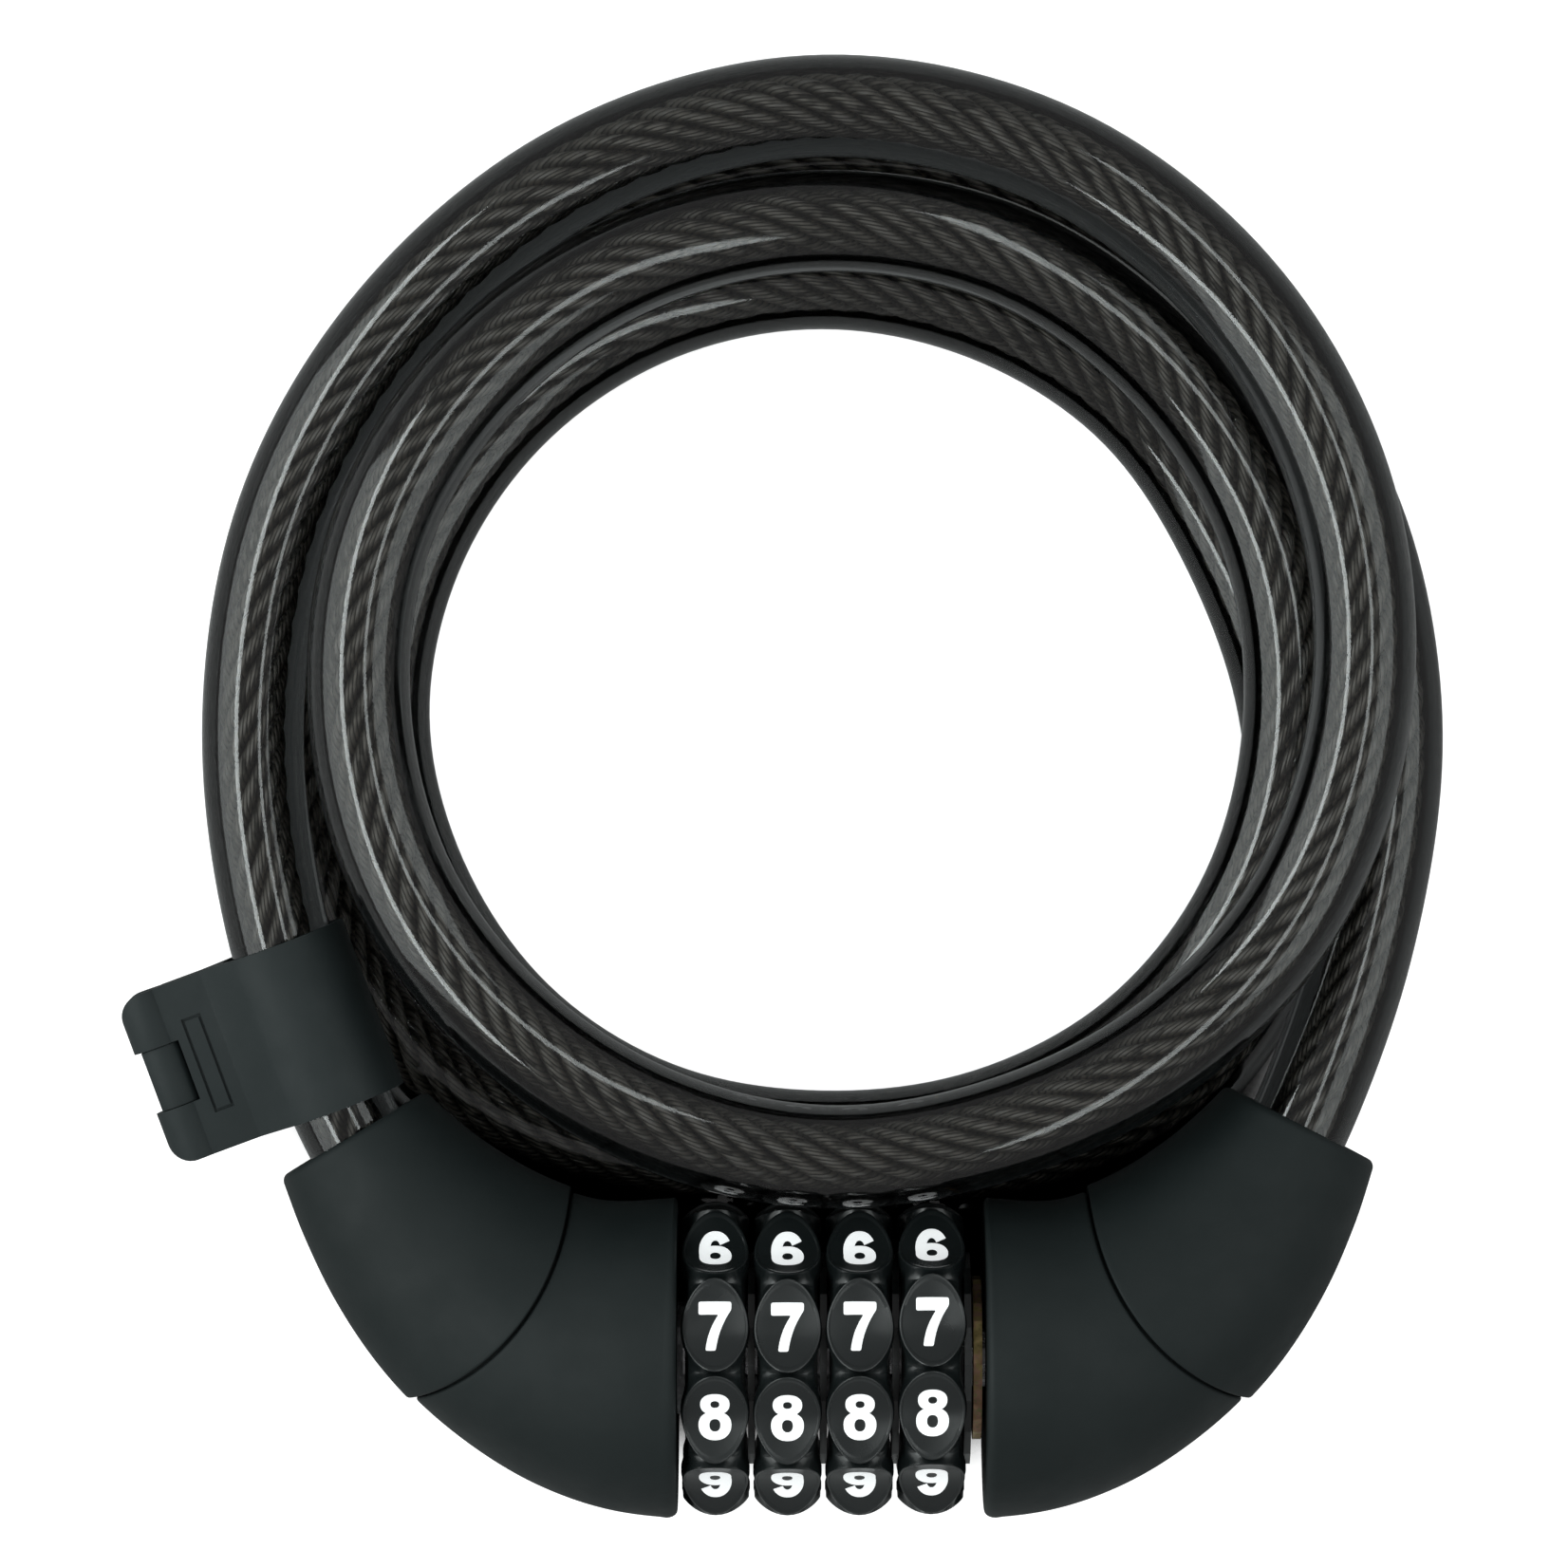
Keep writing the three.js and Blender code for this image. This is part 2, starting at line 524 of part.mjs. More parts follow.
function clipBar(x, z, radius, segments = 14) {
  const geometry = new THREE.CylinderGeometry(radius, radius, z[1] - z[0], segments);
  geometry.rotateX(Math.PI / 2);
  geometry.translate(x, 0, (z[0] + z[1]) / 2);
  return inClip(geometry);
}

function jawPlate(up) {
  const shoulder = radians(SHOULDER_ANGLE);
  const open = Math.asin(HALF_GAP / CLIP_BORE_R);
  const outline = new THREE.Shape();
  outline.moveTo(-CLIP_R, HALF_GAP);
  outline.absarc(0, 0, CLIP_R, Math.PI - 0.02, shoulder, true);
  outline.quadraticCurveTo(CLIP_R * 0.95, TAB_HALF_THICKNESS + 1.2, FOOT_OF_SLOPE, TAB_HALF_THICKNESS);
  outline.lineTo(TAB_END, TAB_HALF_THICKNESS);
  outline.lineTo(TAB_END, HALF_GAP);
  outline.lineTo(CLIP_BORE_R * Math.cos(open), HALF_GAP);
  outline.absarc(0, 0, CLIP_BORE_R, open, Math.PI - open, false);
  outline.closePath();
  const geometry = new THREE.ExtrudeGeometry(outline, {
    depth: CLIP_LENGTH, bevelEnabled: false, curveSegments: 9,
  });
  geometry.translate(0, 0, -CLIP_LENGTH / 2);
  if (!up) geometry.scale(1, -1, 1);
  return inClip(geometry);
}

const end = CLIP_LENGTH / 2;
const lobeInner = end - LOBE_LENGTH;
const knuckleWell = (z) => clipBar(HINGE_OFFSET, z, KNUCKLE_R + GAP);
const pinWay = clipBar(HINGE_OFFSET, [-end - 1, end + 1], HINGE_PIN_R + 0.1, 12);

function labelFrame() {
  const { x, z, depth, line } = LABEL;
  const top = [TAB_HALF_THICKNESS - depth, TAB_HALF_THICKNESS + 1];
  const middle = clipBlock([x[0] + line, x[1] - line], [top[0] - 1, top[1] + 1], [z[0] + line, z[1] - line]);
  return clipBlock(x, top, z).subtract(middle);
}

const lobes = [[-end, -lobeInner], [lobeInner, end]].map((z) => union([
  clipBar(HINGE_OFFSET, z, KNUCKLE_R),
  clipBlock([TAB_END - 1, HINGE_OFFSET], [HALF_GAP, TAB_HALF_THICKNESS], z),
]));
addPiece('clip_upper_jaw', union([
  jawPlate(true).subtract(knuckleWell([-lobeInner - GAP, lobeInner + GAP])),
  ...lobes,
]).subtract(pinWay).subtract(labelFrame()), CLIP_PLASTIC);

const tongueEnd = lobeInner - GAP;
addPiece('clip_lower_jaw', union([
  jawPlate(false).subtract(knuckleWell([-end - 1, -lobeInner + GAP]))
    .subtract(knuckleWell([lobeInner - GAP, end + 1])),
  clipBar(HINGE_OFFSET, [-tongueEnd, tongueEnd], KNUCKLE_R - 0.3),
  clipBlock([TAB_END - 1, HINGE_OFFSET], [-TAB_HALF_THICKNESS, -HALF_GAP], [-tongueEnd, tongueEnd]),
]).subtract(pinWay), CLIP_PLASTIC);
addPiece('clip_hinge_pin', clipBar(HINGE_OFFSET, [-end + 0.3, end - 0.3], HINGE_PIN_R, 12), SPRING_STEEL);

export default lock;
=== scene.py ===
import json
import math

import bmesh
import bpy
import numpy as np
from mathutils import Matrix, Vector


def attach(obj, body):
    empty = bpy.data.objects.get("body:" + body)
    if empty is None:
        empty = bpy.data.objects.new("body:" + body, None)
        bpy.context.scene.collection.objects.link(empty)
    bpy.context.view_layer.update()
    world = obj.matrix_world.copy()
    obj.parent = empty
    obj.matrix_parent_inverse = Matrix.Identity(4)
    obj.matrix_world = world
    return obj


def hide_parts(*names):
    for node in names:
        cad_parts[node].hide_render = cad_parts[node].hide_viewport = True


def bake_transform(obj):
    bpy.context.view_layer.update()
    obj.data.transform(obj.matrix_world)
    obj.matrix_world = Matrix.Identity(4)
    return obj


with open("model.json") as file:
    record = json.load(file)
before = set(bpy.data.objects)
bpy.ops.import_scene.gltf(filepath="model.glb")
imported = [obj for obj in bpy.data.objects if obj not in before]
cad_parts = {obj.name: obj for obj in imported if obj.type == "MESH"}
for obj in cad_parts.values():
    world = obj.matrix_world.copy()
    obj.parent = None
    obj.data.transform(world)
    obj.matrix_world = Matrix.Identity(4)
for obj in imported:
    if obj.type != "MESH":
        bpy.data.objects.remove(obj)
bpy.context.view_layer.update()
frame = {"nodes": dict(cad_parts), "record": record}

scene = bpy.context.scene

# ---------------------------------------------------------------- sizes
MM = 0.001
GAP = 0.3
AXIS_Y, AXIS_Z = -6.4, 18.8  # the lock axis, which runs along X

CABLE_R = 6.0
ROPE_R = 2.5
CABLE_IN_MOUTH = 9.0
ROPE_EXTRA = 17.6
STRANDS = 7
LAY_LENGTH = 30.0

HORN_RADII = [
    (0, 18.8), (0.1, 18.4), (0.2, 17.6), (0.33, 16.3), (0.5, 14.7), (0.7, 12.5), (0.88, 10.5),
    (1, 9.55),
]
WALL = 2.0
SEAM_R = 28.0
SEAM_CENTRE = (58.1, 15.3)
END_COVER_PROUD = 0.6
MOUTH_BORE_R = 6.9
MOUTH_LIP = 0.95
FACE_WALL = 0.04
FACE_BORE_R = 7.0

DIAL_X = (-13.3, -4.9, 3.5, 11.9)
DIAL_TURNS = (0, -0.4, 0, 1.8)  # degrees that each dial stands off the line
SHOWN_DIGIT_ANGLE = 16.1
SHOWN_DIGIT = 7
DIAL_BORE_R = 10.9
PAD_HALF_WIDTH = 4.0
NECK_HALF_WIDTH = 3.15
HUB_HALF_WIDTH = 3.5
HUB_R = 13.0

CLIP_LENGTH = 20.6
CLIP_R = 8.2
CLIP_BORE_R = 6.75
CLIP_FROM_MOUTH = 14.0
HINGE_OFFSET = 17.2
KNUCKLE_R = 3.1


# ---------------------------------------------------------------- camera
VIEW_CENTRE = (-5.3, 61.05)
VIEW_WIDTH = 184.4
VIEW_DISTANCE = 1000.0  # above the lock axis


def make_camera():
    data = bpy.data.cameras.new("camera")
    data.sensor_width = 36.0
    data.lens = data.sensor_width * VIEW_DISTANCE / VIEW_WIDTH
    data.clip_start, data.clip_end = 0.05, 20.0
    camera = bpy.data.objects.new("camera", data)
    camera.location = (VIEW_CENTRE[0] * MM, VIEW_CENTRE[1] * MM, (AXIS_Z + VIEW_DISTANCE) * MM)
    scene.collection.objects.link(camera)
    scene.camera = camera


make_camera()


# ---------------------------------------------------------------- mesh helpers
def make_object(name, points, faces, sharp_angle=35.0):
    """A closed mesh from points in millimetres, with its faces turned outwards."""
    mesh = bpy.data.meshes.new(name)
    mesh.from_pydata((np.asarray(points, float).reshape(-1, 3) * MM).tolist(), [], faces)
    return finish_object(name, mesh, sharp_angle)


def finish_object(name, mesh, sharp_angle=35.0):
    bm = bmesh.new()
    bm.from_mesh(mesh)
    bmesh.ops.remove_doubles(bm, verts=bm.verts, dist=1e-6)
    bmesh.ops.recalc_face_normals(bm, faces=bm.faces)
    bm.to_mesh(mesh)
    bm.free()
    mesh.shade_smooth()
    mesh.set_sharp_from_angle(angle=math.radians(sharp_angle))
    piece = bpy.data.objects.new(name, mesh)
    scene.collection.objects.link(piece)
    return piece


def ring_faces(rings, corners, closed=False):
    """Quads between successive rings of points; closed joins the last ring to the first."""
    i = np.arange(rings if closed else rings - 1)[:, None]
    j = np.arange(corners)[None, :]
    i_next, j_next = (i + 1) % rings, (j + 1) % corners
    quads = [i * corners + j, i * corners + j_next, i_next * corners + j_next, i_next * corners + j]
    return np.stack(quads, axis=-1).reshape(-1, 4).tolist()


def cap_faces(rings, corners):
    return [list(range(corners)), list(range((rings - 1) * corners, rings * corners))]


def joined(name, pieces):
    """Several objects as one, with the materials of each."""
    bpy.ops.object.select_all(action="DESELECT")
    for piece in pieces:
        piece.select_set(True)
    bpy.context.view_layer.objects.active = pieces[0]
    bpy.ops.object.join()
    pieces[0].name = name
    pieces[0].select_set(False)
    return pieces[0]


# ---------------------------------------------------------------- the cable's route
# The same points as in the frame's source: [distance from the coil's centre, height] at even steps
# round it, clockwise from the lock, one line for each turn.
COIL_CENTRE = (-0.7, 68.6)
COIL_FIRST_ANGLE = 67.5
COIL_STEP = 22.5
COIL_TURNS = [
    [(69, 19.8), (67, 20.8), (67.5, 21.3), (68.5, 21.5), (70.5, 22), (72, 23.2), (71.3, 25.6),
     (69, 27), (66, 28.4), (62.5, 29.5), (59, 30.4), (55, 30.9), (52, 31), (51, 31), (50.5, 31),
     (51, 31)],
    [(52.5, 31), (54, 30.8), (56, 29.8), (57.1, 27.5), (57.9, 25), (58.5, 23.6), (58.8, 22.6),
     (58, 20.5), (57, 18.9), (55.5, 18.4), (54.5, 18.4), (53, 18.4), (51, 18.4), (49.7, 18.4),
     (50.3, 18.4), (51, 18.4)],
    [(51.5, 18.3), (52.5, 17.4), (52.5, 15.6), (52.5, 13.4), (52.5, 11.6), (52.5, 10.8),
     (52.5, 10.2), (53, 8.6), (53, 6.9), (55.8, 6.2), (59.7, 6.1), (60.8, 6.1), (57, 6.1),
     (52.5, 6.1), (56.4, 6.1), (61.8, 6.1)],
    [(63.3, 6.1), (62.5, 6.1), (62.5, 6.1), (63.5, 6.1), (65, 6.1), (66.5, 6.1), (67.5, 6.3),
     (67.5, 7), (67.5, 8.8), (67.5, 11.8), (69, 16)],
]
STRAIGHT_DEPTHS = (0, 7, 14, 21, CABLE_IN_MOUTH + ROPE_EXTRA)


def bezier(controls, t):
    """Point and slope of a cubic Bezier curve at each t."""
    t = np.asarray(t, float)[..., None]
    a, b, c, d = (np.array(p, float) for p in controls)
    s = 1 - t
    point = s**3 * a + 3 * s * s * t * b + 3 * s * t * t * c + t**3 * d
    slope = 3 * (s * s * (b - a) + 2 * s * t * (c - b) + t * t * (d - c))
    return point, slope


class Horn:
    """One curved half: round sections along a spine from the dial face to the cable's mouth."""

    SPINE_BEND = 13.7

    def __init__(self, sign, face, knee, mouth, outward):
        self.sign = sign
        self.mouth = np.array([*mouth, AXIS_Z])
        self.outward = np.array([*outward, 0]) / np.hypot(*outward)
        self.controls = [
            (face, AXIS_Y, AXIS_Z), (knee, AXIS_Y, AXIS_Z),
            self.mouth - self.SPINE_BEND * self.outward, self.mouth,
        ]

    def inside(self, depth):
        return self.mouth - depth * self.outward

    def per_mm(self, t):
        """How much of the spine's share one millimetre takes."""
        return 1 / np.linalg.norm(bezier(self.controls, t)[1], axis=-1)

    def points(self, t, radius, around):
        centre, slope = bezier(self.controls, t)
        slope = slope / np.linalg.norm(slope, axis=-1, keepdims=True)
        side = np.stack([-slope[..., 1], slope[..., 0], np.zeros_like(slope[..., 0])], axis=-1)
        reach = (radius * np.cos(around))[..., None]
        lift = (radius * np.sin(around))[..., None]
        return centre + side * reach + np.array([0.0, 0.0, 1.0]) * lift

    def seam_share(self, offset, seam_radius, around):
        """Where the surface at that offset from the outside meets the seam's upright cylinder."""
        low, high = np.zeros_like(around), np.ones_like(around)
        centre = np.array([self.sign * SEAM_CENTRE[0], SEAM_CENTRE[1]])
        for _ in range(40):
            middle = (low + high) / 2
            at = self.points(middle, horn_radius(middle) + offset, around)[..., :2]
            beyond = np.linalg.norm(at - centre, axis=-1) > seam_radius
            low, high = np.where(beyond, middle, low), np.where(beyond, high, middle)
        return (low + high) / 2


def horn_radius(t):
    """A smooth curve through HORN_RADII."""
    at, radii = np.array(HORN_RADII).T
    slopes = np.gradient(radii, at)
    t = np.clip(t, 0, 1)
    i = np.clip(np.searchsorted(at, t, side="right") - 1, 0, len(at) - 2)
    width = at[i + 1] - at[i]
    u = (t - at[i]) / width
    return (
        (1 + 2 * u) * (1 - u) ** 2 * radii[i] + u * (1 - u) ** 2 * width * slopes[i]
        + u * u * (3 - 2 * u) * radii[i + 1] + u * u * (u - 1) * width * slopes[i + 1]
    )


HORNS = {
    "left": Horn(-1, -17.8, -36.8, (-55.9, 19.9), (-0.509, 0.861)),
    "right": Horn(1, 18.2, 37.2, (55.4, 21.1), (0.457, 0.889)),
}


def coil_stations():
    stations = []
    for i, (distance, height) in enumerate(station for turn in COIL_TURNS for station in turn):
        angle = math.radians(COIL_FIRST_ANGLE + COIL_STEP * i)
        x = COIL_CENTRE[0] - distance * math.sin(angle)
        y = COIL_CENTRE[1] - distance * math.cos(angle)
        stations.append((x, y, height))
    return stations


def through(stations, steps=40):
    """Centripetal Catmull-Rom curve through the stations, as closely spaced points."""
    p = np.array(stations, float)
    p = np.vstack([2 * p[0] - p[1], p, 2 * p[-1] - p[-2]])
    u = np.linspace(0, 1, steps, endpoint=False)[:, None]
    spans = []
    for p0, p1, p2, p3 in zip(p, p[1:], p[2:], p[3:]):
        d0, d1, d2 = (math.sqrt(np.linalg.norm(b - a)) for a, b in ((p0, p1), (p1, p2), (p2, p3)))
        m1 = d1 * ((p1 - p0) / d0 - (p2 - p0) / (d0 + d1) + (p2 - p1) / d1)
        m2 = d1 * ((p2 - p1) / d1 - (p3 - p1) / (d1 + d2) + (p3 - p2) / d2)
        spans.append(
            p1 + m1 * u + (3 * (p2 - p1) - 2 * m1 - m2) * u**2 + (2 * (p1 - p2) + m1 + m2) * u**3
        )
    return np.vstack([*spans, p[-2]])


def respaced(line, distance_between, start=0.0, end=None):
    """Evenly spaced points along a line, from one arc length to another."""
    travelled = np.concatenate([[0], np.cumsum(np.linalg.norm(np.diff(line, axis=0), axis=1))])
    end = travelled[-1] if end is None else end
    count = int(round((end - start) / distance_between)) + 1
    at = np.linspace(start, end, count)
    return np.stack([np.interp(at, travelled, line[:, k]) for k in range(3)], axis=1)


def smoothed(line, passes):
    """The line with its small kinks relaxed and its ends kept."""
    line = line.copy()
    for _ in range(passes):
        line[1:-1] = (line[:-2] + 2 * line[1:-1] + line[2:]) / 4
    return line


ROUTE = through([
    *(HORNS["left"].inside(depth) for depth in reversed(STRAIGHT_DEPTHS)),
    *coil_stations(),
    *(HORNS["right"].inside(depth) for depth in STRAIGHT_DEPTHS),
])
EVEN_ROUTE = respaced(ROUTE, 1.0)
SMOOTH_ROUTE = smoothed(EVEN_ROUTE, 30)
ROUTE_LENGTH = float(np.linalg.norm(np.diff(EVEN_ROUTE, axis=0), axis=1).sum())


def directions(line):
    """Tangent, level sideways direction and the one at right angles to both, at each point."""
    tangent = np.gradient(line, axis=0)
    tangent /= np.linalg.norm(tangent, axis=1, keepdims=True)
    side = np.cross([0.0, 0.0, 1.0], tangent)
    side /= np.linalg.norm(side, axis=1, keepdims=True)
    return tangent, side, np.cross(tangent, side)


def sweep(line, radius, around):
    """Rings of points about a line; radius and around have a value for each ring and corner."""
    _, side, up = directions(line)
    reach = (radius * np.cos(around))[..., None]
    lift = (radius * np.sin(around))[..., None]
    return line[:, None, :] + side[:, None, :] * reach + up[:, None, :] * lift


def make_jacket():
    line = respaced(SMOOTH_ROUTE, 2.0, ROPE_EXTRA, ROUTE_LENGTH - ROPE_EXTRA)
    corners = 48
    around = np.linspace(0, 2 * math.pi, corners, endpoint=False)[None, :]
    around = np.repeat(around, len(line), axis=0)
    points = sweep(line, np.full_like(around, CABLE_R), around)
    faces = ring_faces(len(line), corners) + cap_faces(len(line), corners)
    return make_object("cable_jacket_skin", points, faces), line


def make_rope():
    """Strands wound right-handed round the route, as one closed lobed body. Its UV map has the
    length along the rope in metres and the turn round it, so that the wires can be drawn."""
    line = respaced(SMOOTH_ROUTE, 1.2)
    per_strand = 8
    corners = STRANDS * per_strand
    own_turn = np.linspace(0, 1, corners, endpoint=False)[None, :]
    spacing = (ROUTE_LENGTH / (len(line) - 1))
    twist = np.arange(len(line))[:, None] * spacing / LAY_LENGTH
    turn = own_turn + twist
    across = (own_turn * STRANDS) % 1.0 - 0.5
    strand_r = ROPE_R * math.sin(math.pi / STRANDS) / (1 + math.sin(math.pi / STRANDS))
    ring_r = ROPE_R - strand_r
    off = across * 2 * math.pi / STRANDS
    depth = np.clip(strand_r**2 - (ring_r * np.sin(off)) ** 2, 0, None)
    radius = ring_r * np.cos(off) + np.sqrt(depth)
    radius = np.repeat(radius, len(line), axis=0)
    points = sweep(line, radius, turn * 2 * math.pi)
    quads = ring_faces(len(line), corners)
    rope = make_object("wire_rope_strands", points, quads + cap_faces(len(line), corners), 60.0)
    loops = np.zeros(len(rope.data.loops), np.int32)
    rope.data.loops.foreach_get("vertex_index", loops)
    in_quads = loops[: 4 * len(quads)].reshape(-1, 4)
    ring, corner = in_quads // corners, in_quads % corners
    over_seam = (corner.max(axis=1) - corner.min(axis=1) > per_strand)[:, None]
    strand = (np.where(over_seam, corners, corner).min(axis=1) - 0.5).clip(0) // per_strand
    corner = np.where(over_seam & (corner == 0), corners, corner)
    uv = np.zeros((len(loops), 2), np.float32)
    uv[: in_quads.size, 0] = (ring * spacing * MM).ravel()
    uv[: in_quads.size, 1] = (corner / corners + ring * spacing / LAY_LENGTH).ravel()
    rope.data.uv_layers.new(name="wires").data.foreach_set("uv", uv.ravel())
    numbers = np.zeros(len(rope.data.polygons), np.float32)
    numbers[: len(quads)] = strand
    rope.data.attributes.new("strand", "FLOAT", "FACE").data.foreach_set("value", numbers)
    return rope, line


jacket, jacket_line = make_jacket()
rope, rope_line = make_rope()


# ---------------------------------------------------------------- covers of the two halves
FACE_ROUND = 0.9
SEAM_ROUND = 0.3
LAP, LAP_DEPTH = 1.4, 1.1  # the end cover's inner lip reaches under the body cover's edge
LIP_ROUND = 0.8
MOUTH_CHAMFER = 0.3
MOUTH_THINNING = 0.4  # how much thinner an end cover's wall is at its mouth
PROUD_UNTIL = 0.85  # share of the spine from which an end cover stands less proud
COVER_CORNERS = 144
OUTSIDE_RINGS, INSIDE_RINGS = 44, 12


def quarter(steps):
    """Angles of a quarter round."""
    return np.linspace(0, math.pi / 2, steps)


def cover_mesh(name, horn, rings):
    """A hollow cover from rings of (share of the spine, radius), closed from last to first."""
    around = np.linspace(0, 2 * math.pi, COVER_CORNERS, endpoint=False)
    points = [horn.points(t + 0 * around, r + 0 * around, around) for t, r in rings]
    return make_object(name, points, ring_faces(len(rings), COVER_CORNERS, closed=True), 32.0)


def make_body_cover(name, horn):
    around = np.linspace(0, 2 * math.pi, COVER_CORNERS, endpoint=False)
    seam = horn.seam_share(0, SEAM_R + GAP / 2, around)
    step = horn.seam_share(-LAP_DEPTH, SEAM_R + GAP / 2, around)
    step_back = horn.seam_share(-LAP_DEPTH, SEAM_R + LAP + GAP / 2, around)
    seam_inside = horn.seam_share(-WALL, SEAM_R + LAP + GAP / 2, around)
    face_mm, seam_mm = horn.per_mm(0.0), horn.per_mm(seam)
    first = HORN_RADII[0][1]
    rings = [
        (FACE_ROUND * (1 - np.cos(a)) * face_mm, first - FACE_ROUND * (1 - np.sin(a)))
        for a in quarter(6)
    ]
    start, end = FACE_ROUND * face_mm, seam - SEAM_ROUND * seam_mm
    for u in np.linspace(0, 1, OUTSIDE_RINGS)[1:]:
        t = start + (end - start) * u
        rings.append((t, horn_radius(t)))
    for a in quarter(4)[1:]:
        t = seam - SEAM_ROUND * (1 - np.sin(a)) * seam_mm
        rings.append((t, horn_radius(t) - SEAM_ROUND * (1 - np.cos(a))))
    rings += [(t, horn_radius(t) - LAP_DEPTH) for t in (step, step_back)]
    for u in np.linspace(0, 1, INSIDE_RINGS):
        t = seam_inside + (FACE_WALL - seam_inside) * u
        rings.append((t, horn_radius(t) - WALL))
    rings += [(FACE_WALL, FACE_BORE_R), (0.0, FACE_BORE_R)]
    return cover_mesh(name, horn, rings)


def make_end_cover(name, horn):
    around = np.linspace(0, 2 * math.pi, COVER_CORNERS, endpoint=False)

    def outside(t):
        fade = np.clip((np.asarray(t) - PROUD_UNTIL) / (1 - PROUD_UNTIL), 0, 1)
        return horn_radius(t) + END_COVER_PROUD * (1 - 0.5 * fade * fade * (3 - 2 * fade))

    seam = horn.seam_share(END_COVER_PROUD, SEAM_R - GAP / 2, around)
    lip_depth = -LAP_DEPTH - GAP / 2
    step = horn.seam_share(lip_depth, SEAM_R - GAP / 2, around)
    lip = horn.seam_share(lip_depth, SEAM_R + LAP - GAP / 2, around)
    seam_inside = horn.seam_share(-WALL, SEAM_R + LAP - GAP / 2, around)
    seam_mm, mouth_mm = horn.per_mm(seam), horn.per_mm(1.0)
    rings = [(t, horn_radius(t) + lip_depth) for t in (lip, step)]
    for a in quarter(5):
        t = seam + SEAM_ROUND * (1 - np.cos(a)) * seam_mm
        rings.append((t, outside(t) - SEAM_ROUND * (1 - np.sin(a))))
    start, end = seam + SEAM_ROUND * seam_mm, 1 - LIP_ROUND * mouth_mm
    for u in np.linspace(0, 1, OUTSIDE_RINGS)[1:]:
        t = start + (end - start) * u
        rings.append((t, outside(t)))
    for a in quarter(7)[1:]:
        t = 1 - LIP_ROUND * (1 - np.sin(a)) * mouth_mm
        rings.append((t, outside(t) - LIP_ROUND * (1 - np.cos(a))))
    rings += [
        (1.0, MOUTH_BORE_R + MOUTH_CHAMFER), (1 - MOUTH_CHAMFER * mouth_mm, MOUTH_BORE_R),
        (MOUTH_LIP, MOUTH_BORE_R),
    ]
    for u in np.linspace(0, 1, INSIDE_RINGS):
        t = MOUTH_LIP + (seam_inside - MOUTH_LIP) * u
        rings.append((t, horn_radius(t) - WALL + MOUTH_THINNING * (1 - u)))
    return cover_mesh(name, horn, rings)


covers = {}
for side, horn in HORNS.items():
    covers[f"{side}_body_cover"] = make_body_cover(f"{side}_body_cover_skin", horn)
    covers[f"{side}_end_cover"] = make_end_cover(f"{side}_end_cover_skin", horn)


# ---------------------------------------------------------------- dials
PADS = 10
PAD_STEP = 2 * math.pi / PADS
PAD_SAMPLES = 24  # along each side of a pad
NECK_SAMPLES = 8  # across each neck
DISH_X = 3.88
DISH_ANGLE = math.radians(17.2)
NECK_ANGLE = math.radians(13.0)
DIGIT_R = 16.65  # at the middle of a pad, its lowest point
PAD_RISE = 2.1  # from there to the pad's ends
CROWN = 0.3  # drop from a pad's middle to its sides
RIM, RIM_EDGE, RIM_STEP = 0.12, 0.93, 0.03  # height, then shares of the pad
RIM_ROUND, RIM_ROUND_FROM = 0.1, 0.965  # drop at the rim's outside, then a share
PAD_SIDE_R = 15.7
NECK_R = 17.3
NECK_EDGE_R = 16.4
EDGE_INSET = 0.08
EDGE_ROUND = ((EDGE_INSET, 0), (0.06, 0.08), (0, 0.25))  # how far in and how far down
PAD_SKIRT = 1.1  # upright side of a pad, below its edge
DISH_RINGS = (0.15, 0.3, 0.45, 0.6, 0.72, 0.82, 0.87, 0.9, 0.93, 0.95, 0.97, 0.985, 1.0)
SLOPE_RINGS = (0.12, 0.35, 0.7, 1.0)


def widening(angle):
    """1 in the middle of a pad, 0 at the neck."""
    return np.cos(math.pi / 2 * np.clip(np.abs(angle) / NECK_ANGLE, 0, 1))


def half_width(angle):
    return NECK_HALF_WIDTH + (PAD_HALF_WIDTH - NECK_HALF_WIDTH) * widening(angle)


def side_radius(angle):
    return NECK_EDGE_R + (PAD_SIDE_R - NECK_EDGE_R) * np.sqrt(widening(angle))


def dish_radius(x, angle):
    """Height of a pad, scooped along the dial and slightly rounded across it, with a thin rim."""
    across, along = np.asarray(x) / DISH_X, np.asarray(angle) / DISH_ANGLE
    share = np.hypot(across, along)
    rim = RIM * np.clip((share - RIM_EDGE + RIM_STEP) / RIM_STEP, 0, 1)
    rim = rim - RIM_ROUND * np.clip((share - RIM_ROUND_FROM) / (1 - RIM_ROUND_FROM), 0, 1) ** 2
    return DIGIT_R + PAD_RISE * along**2 - CROWN * across**2 + rim


def pad_boundary():
    """The edge of one pad's cell: [x, angle, radius], round it once."""
    angles = np.linspace(-PAD_STEP / 2, PAD_STEP / 2, PAD_SAMPLES + 1)[:-1]
    neck_x = NECK_HALF_WIDTH - EDGE_INSET
    across = np.linspace(-neck_x, neck_x, NECK_SAMPLES + 1)[:-1]
    left = np.stack([-(half_width(angles) - EDGE_INSET), angles, side_radius(angles)], axis=1)
    bow = NECK_R - (NECK_R - NECK_EDGE_R) * np.abs(across / neck_x) ** 3
    far = np.stack([across, np.full_like(across, PAD_STEP / 2), bow], axis=1)
    turned = np.array([-1, -1, 1])
    return np.vstack([left, far, left * turned, far * turned])


def on_dial(x, angle, radius):
    return np.stack([x, AXIS_Y + radius * np.sin(angle), AXIS_Z + radius * np.cos(angle)], axis=-1)


